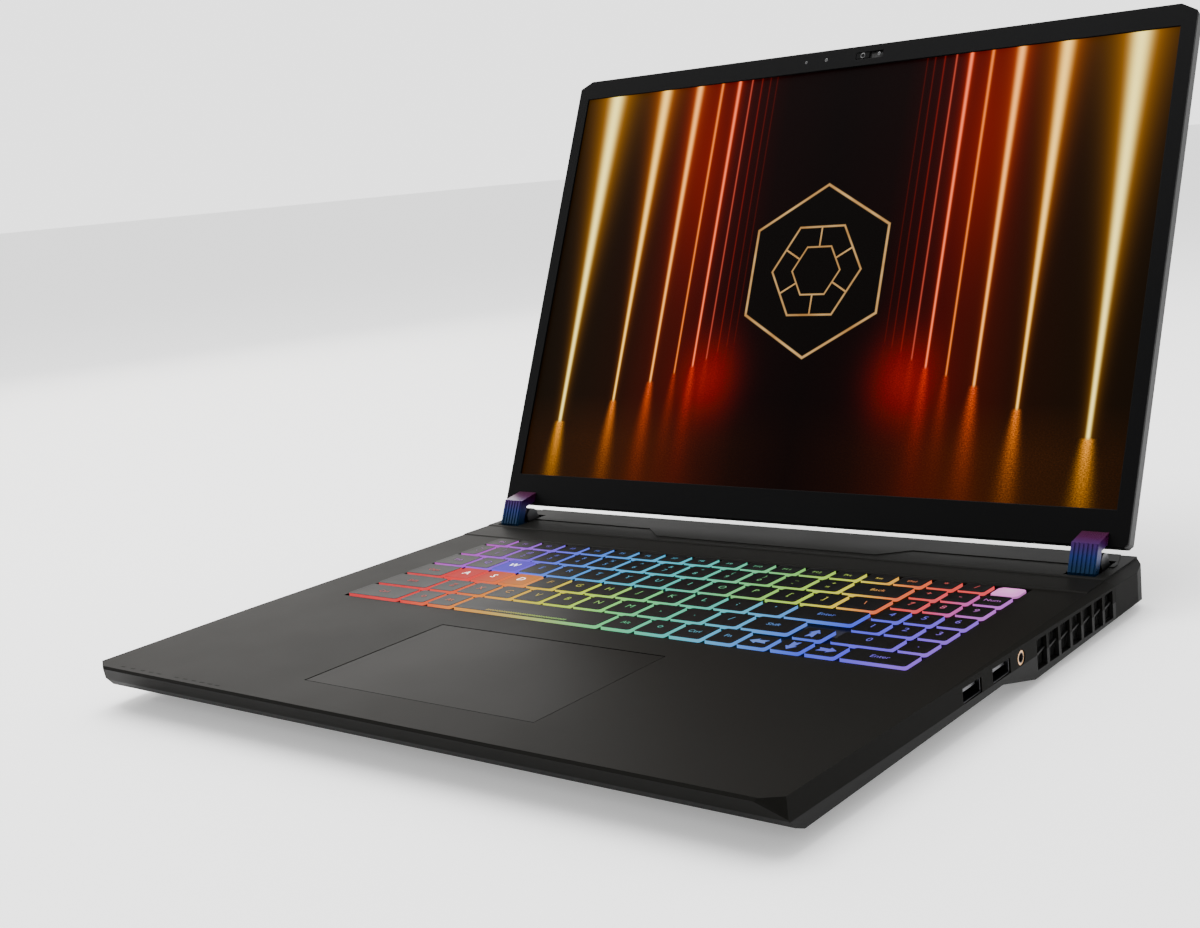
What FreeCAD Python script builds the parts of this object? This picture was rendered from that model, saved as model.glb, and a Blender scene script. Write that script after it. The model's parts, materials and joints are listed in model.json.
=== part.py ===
import FreeCAD, Part
import Sketcher
import os
import re

# A 17 inch gaming laptop standing open on a table, in millimetres.
# +Z is up, the user sits on the -Y side and +X is to the user's right.
# Z = 0 is the table. The origin is under the middle of the open laptop.
# Distances from front to back start at the hinge axis, and so do the lid's own.

doc = FreeCAD.newDocument("laptop_computer")
sheet = doc.addObject("Spreadsheet::Sheet", "sizes")

sizes = {
    # base
    "base_width": 386,
    "front_reach": 264,
    "rear_reach": 22.5,
    "palm_height": 21,
    "foot_height": 2.6,
    "shell_wall": 1.8,
    "deck_wall": 2.2,
    "edge_bevel": 5.5,
    "edge_drop": 2.2,
    "split_height": 12,
    "under_slope": 14,
    "front_corner": 9,
    "front_taper": 8,
    "skirt_front": 128,
    "skirt_ramp": 34,
    "skirt_height": 5.4,
    "skirt_slope": 3,
    "rear_corner": 8,
    "rear_corner_depth": 17,
    "rear_block": 18,
    "ridge_step": 0.4,
    "ridge_front": 36.8,
    "ridge_side": 0.3,
    "ridge_middle": 11.8,
    "ridge_middle_half": 68,
    "ridge_slant": 14,
    # lid
    "hinge_rise": 3,
    "lid_tilt": 25,
    "lid_width": 381,
    "lid_thickness": 7.5,
    "lid_gap": 1.6,
    "lid_start": 6.7,
    "chin": 17,
    "top_bezel": 11.2,
    "panel_width": 366.2,
    "panel_height": 228.9,
    "panel_lip": 1.2,
    "panel_thickness": 3,
    "bezel_thickness": 1.2,
    "lid_wall": 1.5,
    "lid_corner": 8.4,
    "lid_corner_drop": 4.3,
    "lid_foot": 2,
    # hinges
    "hinge_spread": 174.6,
    "arm_width": 13,
    "arm_reach": 10,
    "arm_leg": 4.5,
    "arm_top": 13.2,
    "arm_shoulder": 6.2,
    "arm_bend": 7.3,
    "arm_tip": 11.6,
    "rib_height": 0.6,
    "rib_width": 1.15,
    "rib_pitch": 2.1,
    "barrel_radius": 4.2,
    "barrel_width": 5,
    "shaft_radius": 1.9,
    "running_gap": 0.05,
    "ear_gap": 0.4,
    "ear_thickness": 2.8,
    "slot_side_gap": 1,
    "slot_front": 15.4,
    "slot_rear": 8.6,
    # keyboard
    "keys_left": 155.5,
    "keys_front": 145.3,
    "key_pitch": 18.9,
    "row_pitch": 18.8,
    "key_gap": 2.3,
    "function_depth": 11.5,
    "function_count": 16,
    "pad_gap": 1.018,
    "arrow_side_gap": 2.17,
    "arrow_shift_gap": 1.815,
    "pad_pitch": 15.6,
    "arrow_pitch": 16.5,
    "key_proud": 0.9,
    "key_height": 1.6,
    "key_taper": 0.45,
    "key_travel": 1.4,
    "well_margin": 1.4,
    "plate_thickness": 1,
    "plate_lip": 2.5,
    # touchpad
    "touchpad_width": 129.2,
    "touchpad_depth": 76.4,
    "touchpad_offset": 2.7,
    "touchpad_front": 241.5,
    "touchpad_gap": 0.4,
    "touchpad_thickness": 1.6,
    # sockets in the right wall
    "socket_drop": 5.8,
    "usb_width": 13.2,
    "usb_height": 5.2,
    "usb_depth": 14,
    "usb_wall": 0.4,
    "usb_first": 143,
    "usb_second": 120.5,
    "jack_place": 104.5,
    "jack_radius": 1.8,
    "jack_collar": 3,
    "jack_depth": 13,
    # vents in the side walls
    "vent_start": 91.5,
    "vent_count": 7,
    "vent_pitch": 10.4,
    "vent_rib": 2.2,
    "vent_height": 12.4,
    "vent_drop": 2.9,
    "vent_reach": 11,
    # inside
    "board_rise": 2,
    "board_thickness": 1.4,
    "board_half": 80,
    "board_front": 156,
    "board_rear": 30,
    "board_strip": 118,
    "board_wing": 162,
    "chip_height": 1.5,
    "pipe_height": 2.4,
    "pipe_width": 8,
    "fan_place": 124,
    "fan_depth_place": 73,
    "fan_radius": 32,
    "fan_case": 76,
    "fan_height": 9.5,
    "fan_wall": 1,
    "fan_gap": 0.8,
    "hub_radius": 12,
    "blade_count": 23,
    "blade_thickness": 0.8,
    "post_radius": 1.5,
    "sink_depth": 15,
    "fin_pitch": 3.5,
    "fin_thickness": 0.6,
    "battery_width": 222,
    "battery_depth": 68,
    "battery_height": 8,
    "battery_front": 232,
    "speaker_width": 44,
    "speaker_depth": 60,
    "speaker_height": 8,
    "speaker_place": 122,
    # feet and screws
    "foot_width": 9,
    "foot_length": 60,
    "screw_radius": 1.6,
    "screw_head": 2.8,
    "screw_length": 6,
    # camera
    "camera_width": 84,
    "camera_depth": 2.4,
    "camera_height": 5.4,
    "lens_place": 9,
    "lens_radius": 1.7,
    "shutter_width": 8,
    "shutter_height": 3,
    "shutter_thickness": 0.8,
    "shutter_travel": 8,
    "shutter_gap": 0.3,
}

for row, (alias, number) in enumerate(sizes.items(), start=1):
    sheet.set(f"A{row}", alias)
    sheet.set(f"B{row}", str(number))
    sheet.setAlias(f"B{row}", alias)
doc.recompute()

# sums that several pieces share, written in the names of the sheet
axis_height = "(palm_height + hinge_rise)"
bezel_front = "(hinge_rise - lid_gap)"
lid_top = "(lid_start + chin + panel_height + top_bezel)"
lid_back = f"(lid_thickness - {bezel_front})"
back_reach = f"({lid_top} * sin(lid_tilt) + {lid_back} * cos(lid_tilt))"
axis_y = f"((front_reach - {back_reach}) / 2)"
floor_top = "(foot_height + shell_wall)"
deck_under = "(palm_height - deck_wall)"
half_base = "(base_width / 2)"
pad_left = "(11.7 * key_pitch + 3 * arrow_pitch + arrow_side_gap - keys_left)"
half_lid = "(lid_width / 2)"
display_foot = "(lid_start + chin)"
display_top = "(lid_start + chin + panel_height)"


def bound(expression):
    """The expression with each name of the sheet written as a reference to its cell."""
    return re.sub(r"[a-z_]+", lambda word: "sizes." + word.group() if word.group() in sizes
                  else word.group(), str(expression))


def bind(item, expressions):
    for prop, expression in expressions.items():
        item.setExpression(prop, bound(expression))
    return item


def from_axis(distance):
    """A place measured from the hinge axis towards the rear, as a place along Y."""
    return f"({axis_y} + ({distance}))"


def block(name, across, along, up):
    """A box between two places on each of X, Y and Z."""
    solid = doc.addObject("Part::Box", name)
    solid.Label = name
    return bind(solid, {
        "Length": f"({across[1]}) - ({across[0]})",
        "Width": f"({along[1]}) - ({along[0]})",
        "Height": f"({up[1]}) - ({up[0]})",
        "Placement.Base.x": across[0],
        "Placement.Base.y": along[0],
        "Placement.Base.z": up[0],
    })


def rod(name, centre, radius, length, axis="z"):
    """A cylinder that starts at a point and runs along +X, +Y or +Z."""
    solid = doc.addObject("Part::Cylinder", name)
    solid.Label = name
    turns = {"x": FreeCAD.Rotation(FreeCAD.Vector(0, 1, 0), 90),
             "y": FreeCAD.Rotation(FreeCAD.Vector(1, 0, 0), -90),
             "z": FreeCAD.Rotation()}
    solid.Placement = FreeCAD.Placement(FreeCAD.Vector(0, 0, 0), turns[axis])
    return bind(solid, {
        "Radius": radius,
        "Height": length,
        "Placement.Base.x": centre[0],
        "Placement.Base.y": centre[1],
        "Placement.Base.z": centre[2],
    })


def profile(name, outline, plane, start, length):
    """A body with one sketch of straight lines, padded away from its plane.

    XY outlines hold (x, y) and rise along Z, XZ outlines hold (x, z) and run along Y,
    and YZ outlines hold (y, z) and run along X. The pad begins at start.
    """
    body = doc.addObject("PartDesign::Body", name)
    body.Label = name
    sketch = body.newObject("Sketcher::SketchObject", name + "_outline")
    origin = [item for item in body.Origin.OriginFeatures if item.Role == plane + "_Plane"][0]
    sketch.AttachmentSupport = [(origin, "")]
    sketch.MapMode = "FlatFace"
    mirrored = -1 if plane == "XZ" else 1
    count = len(outline)
    rough = [(10 * index, 7 * index * index) for index in range(count)]
    for index in range(count):
        here = FreeCAD.Vector(*rough[index], 0)
        there = FreeCAD.Vector(*rough[(index + 1) % count], 0)
        sketch.addGeometry(Part.LineSegment(here, there), False)
    for index in range(count):
        sketch.addConstraint(Sketcher.Constraint("Coincident", index, 2, (index + 1) % count, 1))
    for index, (first, second) in enumerate(outline):
        across = sketch.addConstraint(Sketcher.Constraint("DistanceX", -1, 1, index, 1, 10.0 * index + 1))
        sketch.setExpression(f"Constraints[{across}]", bound(first))
        up = sketch.addConstraint(Sketcher.Constraint("DistanceY", -1, 1, index, 1, 7.0 * index + 1))
        sketch.setExpression(f"Constraints[{up}]", bound(second))
    pad = body.newObject("PartDesign::Pad", name + "_pad")
    pad.Profile = sketch
    pad.Reversed = mirrored < 0
    pad.setExpression("Length", bound(length))
    runs_along = {"XY": "z", "XZ": "y", "YZ": "x"}[plane]
    body.setExpression("Placement.Base." + runs_along, bound(start))
    return body


def cut(name, base, tools):
    """The base with the tools taken away."""
    tool = tools[0] if len(tools) == 1 else fuse(name + "_tools", tools)
    result = doc.addObject("Part::Cut", name)
    result.Label = name
    result.Base = base
    result.Tool = tool
    return result


def fuse(name, shapes):
    result = doc.addObject("Part::MultiFuse", name)
    result.Label = name
    result.Shapes = shapes
    return result


def common(name, shapes):
    result = doc.addObject("Part::MultiCommon", name)
    result.Label = name
    result.Shapes = shapes
    return result


def group(name, solids):
    """Separate solids that share one node."""
    result = doc.addObject("Part::Compound", name)
    result.Label = name
    result.Links = solids
    return result


def on_lid(item):
    """A lid piece is drawn upright with the hinge axis along X, then leaned back on the hinge."""
    item.Placement = FreeCAD.Placement(FreeCAD.Vector(0, 0, 0), FreeCAD.Rotation(FreeCAD.Vector(1, 0, 0), -25))
    return bind(item, {
        "Placement.Base.y": axis_y,
        "Placement.Base.z": axis_height,
        "Placement.Rotation.Angle": "-lid_tilt * 1 deg",
    })


nodes = []


def keep(item):
    """Marks a finished sub-part."""
    nodes.append(item)
    return item


# ---- the base's shell -------------------------------------------------------------------

def base_solid(name, inset, top_drop, floor_rise):
    """The outer form of the base, or the hollow inside it, set in by a wall."""
    half = f"({half_base} - {inset})"
    front = f"({axis_y} - front_reach + {inset})"
    rear = f"({axis_y} + rear_reach - {inset})"
    top = f"(palm_height - {top_drop})"
    bottom = f"(foot_height + {floor_rise})"
    plan = profile(name + "_plan", [
        (f"-{half} + front_taper + front_corner", front),
        (f"{half} - front_taper - front_corner", front),
        (f"{half} - front_taper", f"{front} + front_corner * 0.6"),
        (half, f"{rear} - rear_corner_depth"),
        (f"{half} - rear_corner * 0.3", f"{rear} - rear_corner_depth * 0.4"),
        (f"{half} - rear_corner", rear),
        (f"-{half} + rear_corner", rear),
        (f"-{half} + rear_corner * 0.3", f"{rear} - rear_corner_depth * 0.4"),
        (f"-{half}", f"{rear} - rear_corner_depth"),
        (f"-{half} + front_taper", f"{front} + front_corner * 0.6"),
    ], "XY", 0, "palm_height * 2")
    across = profile(name + "_across", [
        (f"-{half} + under_slope", bottom),
        (f"{half} - under_slope", bottom),
        (half, f"split_height - {floor_rise} * 0.2"),
        (half, f"{top} - edge_drop"),
        (f"{half} - edge_bevel", top),
        (f"{half} - edge_bevel", f"{top} + 3 * ridge_step"),
        (f"-{half} + edge_bevel", f"{top} + 3 * ridge_step"),
        (f"-{half} + edge_bevel", top),
        (f"-{half}", f"{top} - edge_drop"),
        (f"-{half}", f"split_height - {floor_rise} * 0.2"),
    ], "XZ", f"{front} - 5", "front_reach * 2")
    side = profile(name + "_side", [
        (f"{front} + 1.6 * under_slope", bottom),
        (f"{rear} - 5", bottom),
        (rear, f"{bottom} + 5"),
        (rear, f"{top} + 2 * ridge_step - 2"),
        (f"{rear} - 2.5", f"{top} + 2 * ridge_step"),
        (from_axis(f"1 - rear_block"), f"{top} + 2 * ridge_step"),
        (from_axis(f"-rear_block"), f"{top} + ridge_step"),
        (from_axis("1 - ridge_front"), f"{top} + ridge_step"),
        (from_axis("-ridge_front"), top),
        (f"{front} + 1", top),
        (front, f"{top} - 1"),
        (f"{front} + 0.6 * under_slope", f"split_height - 3 + {floor_rise}"),
    ], "YZ", f"-{half} - 5", "base_width + 10")
    # from the sockets to the rear the walls run further down, past a ramp
    deep = profile(name + "_deep", [
        (f"-{half} + skirt_slope", bottom),
        (f"{half} - skirt_slope", bottom),
        (half, f"skirt_height + {floor_rise} * 0.2"),
        (half, "split_height + 1"),
        (f"-{half}", "split_height + 1"),
        (f"-{half}", f"skirt_height + {floor_rise} * 0.2"),
    ], "XZ", f"{front} - 5", "front_reach * 2")
    ramp = profile(name + "_ramp", [
        (from_axis(f"-skirt_front + {inset}"), f"split_height - 0.5 + {floor_rise} * 0.5"),
        (from_axis(f"-skirt_front + skirt_ramp + {inset}"), bottom),
        (f"{rear} - 5", bottom),
        (rear, f"{bottom} + 5"),
        (rear, "split_height + 1"),
        (from_axis(f"-skirt_front + {inset}"), "split_height + 1"),
    ], "YZ", f"-{half} - 5", "base_width + 10")
    return fuse(name, [common(name + "_upper", [plan, across, side]), common(name + "_skirt", [plan, deep, ramp])])


outer_form = base_solid("outer_form", "0", "0", "0")
inner_form = base_solid("inner_form", "shell_wall", "deck_wall", "shell_wall")
whole_width = (f"-{half_base} - 1", f"{half_base} + 1")
block_line = from_axis("-rear_block")
before_front = f"({axis_y} - front_reach - 1)"
behind_rear = from_axis("rear_reach + 1")

shell = cut("shell", outer_form, [inner_form])
upper_part = common("upper_part", [shell, block(
    "upper_space", whole_width, (before_front, block_line), ("split_height", "palm_height + 9"))])
lower_part = common("lower_part", [shell, block(
    "lower_space", whole_width, (before_front, block_line), ("0", "split_height"))])
rear_part = common("rear_part", [shell, block(
    "rear_space", whole_width, (block_line, behind_rear), ("0", "palm_height + 9"))])

# ---- top cover with its openings --------------------------------------------------------

keys_front = from_axis("-keys_front")
keys_back = from_axis("5 * row_pitch + function_depth - keys_front")
keys_right = f"({pad_left} + 3 * pad_pitch - key_gap)"
key_well = block("key_well", ("-keys_left - well_margin", f"{keys_right} + well_margin"),
                 (f"{keys_front} - well_margin", f"{keys_back} + well_margin"),
                 (f"{deck_under} - 5", "palm_height + 5"))
touch_left = "(-touchpad_width / 2 - touchpad_offset)"
touch_right = "(touchpad_width / 2 - touchpad_offset)"
touch_front = from_axis("-touchpad_front")
touch_rear = from_axis("touchpad_depth - touchpad_front")
touch_well = block("touch_well", (touch_left, touch_right), (touch_front, touch_rear),
                   (f"{deck_under} - 5", "palm_height + 5"))
socket_height = "(palm_height - socket_drop)"


def wall_at(along):
    """The half width of the base at a place along Y, where its walls draw in towards the front."""
    run = "(front_reach + rear_reach - rear_corner_depth - front_corner * 0.6)"
    return f"({half_base} - front_taper * ({from_axis('rear_reach - rear_corner_depth')} - ({along})) / {run})"



def usb_opening(name, place):
    return block(name, (f"{wall_at(place)} - usb_depth - 0.5", f"{half_base} + 1"),
                 (f"{place} - usb_width / 2 - usb_wall", f"{place} + usb_width / 2 + usb_wall"),
                 (f"{socket_height} - usb_height / 2 - usb_wall", f"{socket_height} + usb_height / 2 + usb_wall"))


usb_places = [from_axis("-usb_first"), from_axis("-usb_second")]
jack_place = from_axis("-jack_place")
openings = [key_well, touch_well]
openings += [usb_opening(f"usb_opening_{index}", place) for index, place in enumerate(usb_places)]
openings.append(rod("jack_opening", (f"{wall_at(jack_place)} - jack_depth - 0.5", jack_place, socket_height),
                    "jack_collar", "jack_depth + 2", "x"))
vents = []
for side in (1, -1):
    for index in range(sizes["vent_count"]):
        start = from_axis(f"{index} * vent_pitch - vent_start")
        near, far = (f"{wall_at(start)} - vent_reach", f"{half_base} + 1")
        across = (near, far) if side > 0 else (f"-({far})", f"-({near})")
        vents.append(block(f"vent_{index}_{'right' if side > 0 else 'left'}", across,
                           (start, f"{start} + vent_pitch - vent_rib"),
                           (f"palm_height - vent_drop - vent_height", "palm_height - vent_drop")))
keep(cut("top_cover", upper_part, openings + vents))

# ---- bottom cover: tray, air inlets and bosses for the board ----------------------------

inlets = []
for side, name in ((-1, "left"), (1, "right")):
    for index in range(9):
        middle = f"({side} * fan_place)"
        along = from_axis(f"{index - 4} * 6.4 - fan_depth_place")
        inlets.append(block(f"inlet_{name}_{index}", (f"{middle} - 26", f"{middle} + 26"),
                            (f"{along} - 1.6", f"{along} + 1.6"), ("foot_height - 1", f"{floor_top} + 1")))
bosses = []
boss_spots = [("-board_half + 8", "8 - board_rear - 12"), ("board_half - 8", "8 - board_rear - 12"),
              ("-board_wing + 8", "8 - board_front"), ("board_wing - 8", "8 - board_front"),
              ("0", "8 - board_front")]
for index, (across, along) in enumerate(boss_spots):
    bosses.append(rod(f"boss_{index}", (across, from_axis(along), f"{floor_top} - 0.5"), "3.2", "board_rise + 0.5"))
screw_line = "1.6 * under_slope + 5 - front_reach"
screw_spots = [(-1, screw_line), (0, screw_line), (1, screw_line),
               (-1, "-160"), (0, "-160"), (1, "-160"), (-1, "-26"), (1, "-26")]
screw_holes = []
for index, (side, along) in enumerate(screw_spots):
    spot = (f"{side} * ({half_base} - under_slope - 10)", from_axis(along), "foot_height")
    screw_holes.append(rod(f"head_hole_{index}", spot, "screw_head", "shell_wall / 2"))
    screw_holes.append(rod(f"shank_hole_{index}", spot, "screw_radius", "shell_wall"))
bottom_cover = keep(cut("bottom_cover", fuse("tray_with_bosses", [lower_part] + bosses), inlets + screw_holes + vents))
screws = []
for index, (side, along) in enumerate(screw_spots):
    spot = (f"{side} * ({half_base} - under_slope - 10)", from_axis(along), "foot_height")
    screws.append(fuse(f"screw_{index}", [rod(f"screw_head_{index}", spot, "screw_head", "shell_wall / 2"),
                                          rod(f"screw_shank_{index}", spot, "screw_radius", "screw_length")]))
keep(group("bottom_screws", screws))

# ---- rear housing: stepped deck, hinge slots, exhaust and sockets -----------------------

raised_deck = profile("raised_deck", [
    (f"-{half_base} + rear_corner + edge_bevel", from_axis("rear_reach - 2.5")),
    (f"-{half_base} + edge_bevel + 3", from_axis("-ridge_side + 4")),
    (f"-{half_base} + edge_bevel + 3", from_axis("-ridge_side")),
    ("-ridge_middle_half - ridge_slant", from_axis("-ridge_side")),
    ("-ridge_middle_half", from_axis("-ridge_middle")),
    ("ridge_middle_half", from_axis("-ridge_middle")),
    ("ridge_middle_half + ridge_slant", from_axis("-ridge_side")),
    (f"{half_base} - edge_bevel - 3", from_axis("-ridge_side")),
    (f"{half_base} - edge_bevel - 3", from_axis("-ridge_side + 4")),
    (f"{half_base} - rear_corner - edge_bevel", from_axis("rear_reach - 2.5")),
], "XY", "palm_height + ridge_step", "2 * ridge_step")
rear_cuts = []
for side, name in ((-1, "left"), (1, "right")):
    middle = f"({side} * hinge_spread)"
    rear_cuts.append(block(f"{name}_hinge_slot",
                           (f"{middle} - arm_width / 2 - slot_side_gap", f"{middle} + arm_width / 2 + slot_side_gap"),
                           (from_axis("-slot_front"), from_axis("slot_rear")),
                           (f"{deck_under} - 4", "palm_height + 5")))
    for index in range(10):
        start = f"({side} * (94 + {index} * 6.4) - 2)"
        rear_cuts.append(block(f"{name}_exhaust_{index}", (start, f"{start} + 4"),
                               (from_axis("rear_reach - shell_wall - 3"), from_axis("rear_reach + 1")),
                               ("foot_height + 6.4", "palm_height - 4.4")))
rear_sockets = {
    "power_inlet": (-62, 12.6, 6.2),
    "video_port": (-30, 15, 5.6),
    "usb_c_port": (0, 9, 3.4),
}
for name, (place, width, height) in rear_sockets.items():
    rear_cuts.append(block(f"{name}_opening", (f"{place} - {width} / 2", f"{place} + {width} / 2"),
                           (from_axis("rear_reach - shell_wall - 3"), from_axis("rear_reach + 1")),
                           (f"{socket_height} - 2 - {height} / 2", f"{socket_height} - 2 + {height} / 2")))
keep(cut("rear_housing", fuse("rear_with_deck", [rear_part, raised_deck]), rear_cuts))

# ---- rubber feet ------------------------------------------------------------------------

feet = []
for side in (-1, 1):
    middle = f"({side} * ({half_base} - under_slope - 50))"
    for name, along in (("front", f"-front_reach + 1.6 * under_slope + 18"), ("rear", "-10")):
        feet.append(block(f"foot_{name}_{side + 1}", (f"{middle} - foot_length / 2", f"{middle} + foot_length / 2"),
                          (f"{from_axis(along)} - foot_width / 2", f"{from_axis(along)} + foot_width / 2"),
                          ("0", "foot_height")))
keep(group("rubber_feet", feet))

# ---- sockets ----------------------------------------------------------------------------


def usb_socket(name, place):
    """A steel shell open to the outside, with the tongue that carries the contacts."""
    outside = (f"{wall_at(place)} - usb_depth", f"{wall_at(place)} - 0.5")
    shell_box = block(name + "_shell", outside,
                      (f"{place} - usb_width / 2 - usb_wall", f"{place} + usb_width / 2 + usb_wall"),
                      (f"{socket_height} - usb_height / 2 - usb_wall", f"{socket_height} + usb_height / 2 + usb_wall"))
    mouth = block(name + "_mouth", (f"{outside[0]} + 2", f"{half_base} + 1"),
                  (f"{place} - usb_width / 2", f"{place} + usb_width / 2"),
                  (f"{socket_height} - usb_height / 2", f"{socket_height} + usb_height / 2"))
    tongue = block(name + "_tongue", (f"{outside[0]} + 1", f"{outside[1]} - 1.5"),
                   (f"{place} - usb_width / 2 + 0.8", f"{place} + usb_width / 2 - 0.8"),
                   (f"{socket_height} + 0.4", f"{socket_height} + 2"))
    return fuse(name, [cut(name + "_hollow", shell_box, [mouth]), tongue])


keep(usb_socket("usb_port_front", usb_places[0]))
keep(usb_socket("usb_port_rear", usb_places[1]))
jack_body = rod("jack_body", (f"{wall_at(jack_place)} - jack_depth", jack_place, socket_height), "jack_collar",
                "jack_depth - 0.3", "x")
jack_bore = rod("jack_bore", (f"{wall_at(jack_place)} - jack_depth + 1.5", jack_place, socket_height), "jack_radius",
                "jack_depth", "x")
keep(cut("audio_jack", jack_body, [jack_bore]))
for name, (place, width, height) in rear_sockets.items():
    shell_box = block(name + "_shell", (f"{place} - {width} / 2", f"{place} + {width} / 2"),
                      (from_axis("rear_reach - 13"), from_axis("rear_reach - 0.3")),
                      (f"{socket_height} - 2 - {height} / 2", f"{socket_height} - 2 + {height} / 2"))
    mouth = block(name + "_mouth", (f"{place} - {width} / 2 + 0.6", f"{place} + {width} / 2 - 0.6"),
                  (from_axis("rear_reach - 11"), from_axis("rear_reach + 1")),
                  (f"{socket_height} - 1.4 - {height} / 2", f"{socket_height} - 2.6 + {height} / 2"))
    keep(cut(name, shell_box, [mouth]))

# ---- inside the base --------------------------------------------------------------------

board_bottom = f"({floor_top} + board_rise)"
board_top = f"({floor_top} + board_rise + board_thickness)"
board = fuse("mainboard", [
    block("board_middle", ("-board_half", "board_half"), (from_axis("-board_front"), from_axis("-board_rear")),
          (board_bottom, board_top)),
    block("board_front_strip", ("-board_wing", "board_wing"), (from_axis("-board_front"), from_axis("-board_strip")),
          (board_bottom, board_top)),
])
keep(board)
chip_top = f"({board_top} + chip_height)"
keep(block("processor", ("-52", "-14"), (from_axis("-100"), from_axis("-70")), (board_top, chip_top)))
keep(block("graphics_chip", ("16", "52"), (from_axis("-104"), from_axis("-68")), (board_top, chip_top)))
keep(group("memory_modules", [
    block(f"memory_{index}", ("-70", "-2"), (from_axis(f"-152 + {index} * 16"), from_axis(f"-139 + {index} * 16")),
          (board_top, f"{board_top} + 3.6")) for index in range(2)]))
keep(block("storage_drive", ("6", "76"), (from_axis("-142"), from_axis("-120")), (board_top, f"{board_top} + 2.4")))
keep(block("wireless_card", ("96", "126"), (from_axis("-152"), from_axis("-130")), (board_top, f"{board_top} + 2")))
fan_front = from_axis("-fan_depth_place - fan_case / 2")
fan_rear = from_axis("-fan_depth_place + fan_case / 2")
sink_rear = f"({fan_rear} + sink_depth)"
pipes = []
for index in range(3):
    along = f"({fan_rear} + 2.5 + {index} * 4.4)"
    pipes.append(block(f"rear_pipe_{index}", ("-fan_place - fan_case / 2", "fan_place + fan_case / 2"),
                       (along, f"{along} + 3.8"), (chip_top, f"{chip_top} + pipe_height")))
for index, middle in enumerate(("-33", "34")):
    pipes.append(block(f"chip_pipe_{index}", (f"{middle} - pipe_width", f"{middle} + pipe_width"),
                       (from_axis("-104"), f"{fan_rear} + 2.5"), (chip_top, f"{chip_top} + pipe_height")))
keep(group("heat_pipes", [fuse("pipe_run", pipes[:1] + pipes[3:])] + pipes[1:3]))


def heat_sink(name, side):
    """Fins between a floor plate and the pipes, open from front to rear."""
    low, high = (f"{side} * fan_place - fan_case / 2", f"{side} * fan_place + fan_case / 2")
    parts = [block(name + "_plate", (low, high), (fan_rear, sink_rear), (floor_top, f"{floor_top} + 0.8"))]
    count = int(sizes["fan_case"] / sizes["fin_pitch"])
    for index in range(count + 1):
        start = f"({low} + {index} * (fan_case - fin_thickness) / {count})"
        parts.append(block(f"{name}_fin_{index}", (start, f"{start} + fin_thickness"), (fan_rear, sink_rear),
                           (floor_top, chip_top)))
    return fuse(name, parts)


keep(heat_sink("left_heatsink", -1))
keep(heat_sink("right_heatsink", 1))


def fan(side, name):
    """A blower: a case with an inlet below and an outlet to the rear, and a rotor on a post."""
    middle = f"({side} * fan_place)"
    centre = from_axis("-fan_depth_place")
    top = f"({floor_top} + fan_height)"
    case = block(f"{name}_fan_block", (f"{middle} - fan_case / 2", f"{middle} + fan_case / 2"),
                 (fan_front, fan_rear), (floor_top, top))
    chamber = rod(f"{name}_fan_chamber", (middle, centre, f"{floor_top} + fan_wall"), "fan_radius + 2",
                  "fan_height - 2 * fan_wall")
    outlet = block(f"{name}_fan_outlet", (f"{middle} - fan_radius", f"{middle} + fan_radius"),
                   (centre, f"{fan_rear} + 1"), (f"{floor_top} + fan_wall", f"{top} - fan_wall"))
    eye = rod(f"{name}_fan_eye", (middle, centre, f"{floor_top} - 1"), "hub_radius + 8", "fan_wall + 2")
    spider = block(f"{name}_fan_spider", (f"{middle} - hub_radius - 9", f"{middle} + hub_radius + 9"),
                   (f"{centre} - 2.5", f"{centre} + 2.5"), (floor_top, f"{floor_top} + fan_wall"))
    post = rod(f"{name}_fan_post", (middle, centre, floor_top), "post_radius", "fan_height - 2 * fan_wall - 1")
    keep(fuse(f"{name}_fan_case", [cut(f"{name}_fan_hollow", case, [chamber, outlet, eye]), spider, post]))
    rotor_bottom = f"({floor_top} + fan_wall + fan_gap)"
    rotor_height = "(fan_height - 2 * fan_wall - 2 * fan_gap)"
    parts = [rod(f"{name}_rotor_hub", (middle, centre, rotor_bottom), "hub_radius", rotor_height)]
    for index in range(sizes["blade_count"]):
        blade = doc.addObject("Part::Box", f"{name}_blade_{index}")
        turn = 360 * index / sizes["blade_count"]
        blade.Placement = FreeCAD.Placement(FreeCAD.Vector(0, 0, 0), FreeCAD.Rotation(FreeCAD.Vector(0, 0, 1), turn))
        reach = "(hub_radius - 1)"
        bind(blade, {
            "Length": "fan_radius - hub_radius + 1",
            "Width": "blade_thickness",
            "Height": rotor_height,
            "Placement.Base.x": f"{middle} + {reach} * cos({turn})",
            "Placement.Base.y": f"{centre} + {reach} * sin({turn})",
            "Placement.Base.z": rotor_bottom,
        })
        parts.append(blade)
    bore = rod(f"{name}_rotor_bore", (middle, centre, f"{rotor_bottom} - 1"), "post_radius + running_gap",
               f"fan_height - 2 * fan_wall - fan_gap")
    keep(cut(f"{name}_fan_rotor", fuse(f"{name}_rotor_blades", parts), [bore]))


fan(-1, "left")
fan(1, "right")
keep(block("battery", ("-battery_width / 2", "battery_width / 2"),
           (from_axis("-battery_front"), from_axis("battery_depth - battery_front")),
           (floor_top, f"{floor_top} + battery_height")))
for side, name in ((-1, "left"), (1, "right")):
    near = f"({side} * speaker_place)"
    far = f"({side} * (speaker_place + speaker_width))"
    across = (near, far) if side > 0 else (far, near)
    keep(block(f"{name}_speaker", across,
               (from_axis("-battery_front"), from_axis("speaker_depth - battery_front")),
               (floor_top, f"{floor_top} + speaker_height")))

# ---- keyboard ---------------------------------------------------------------------------

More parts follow.
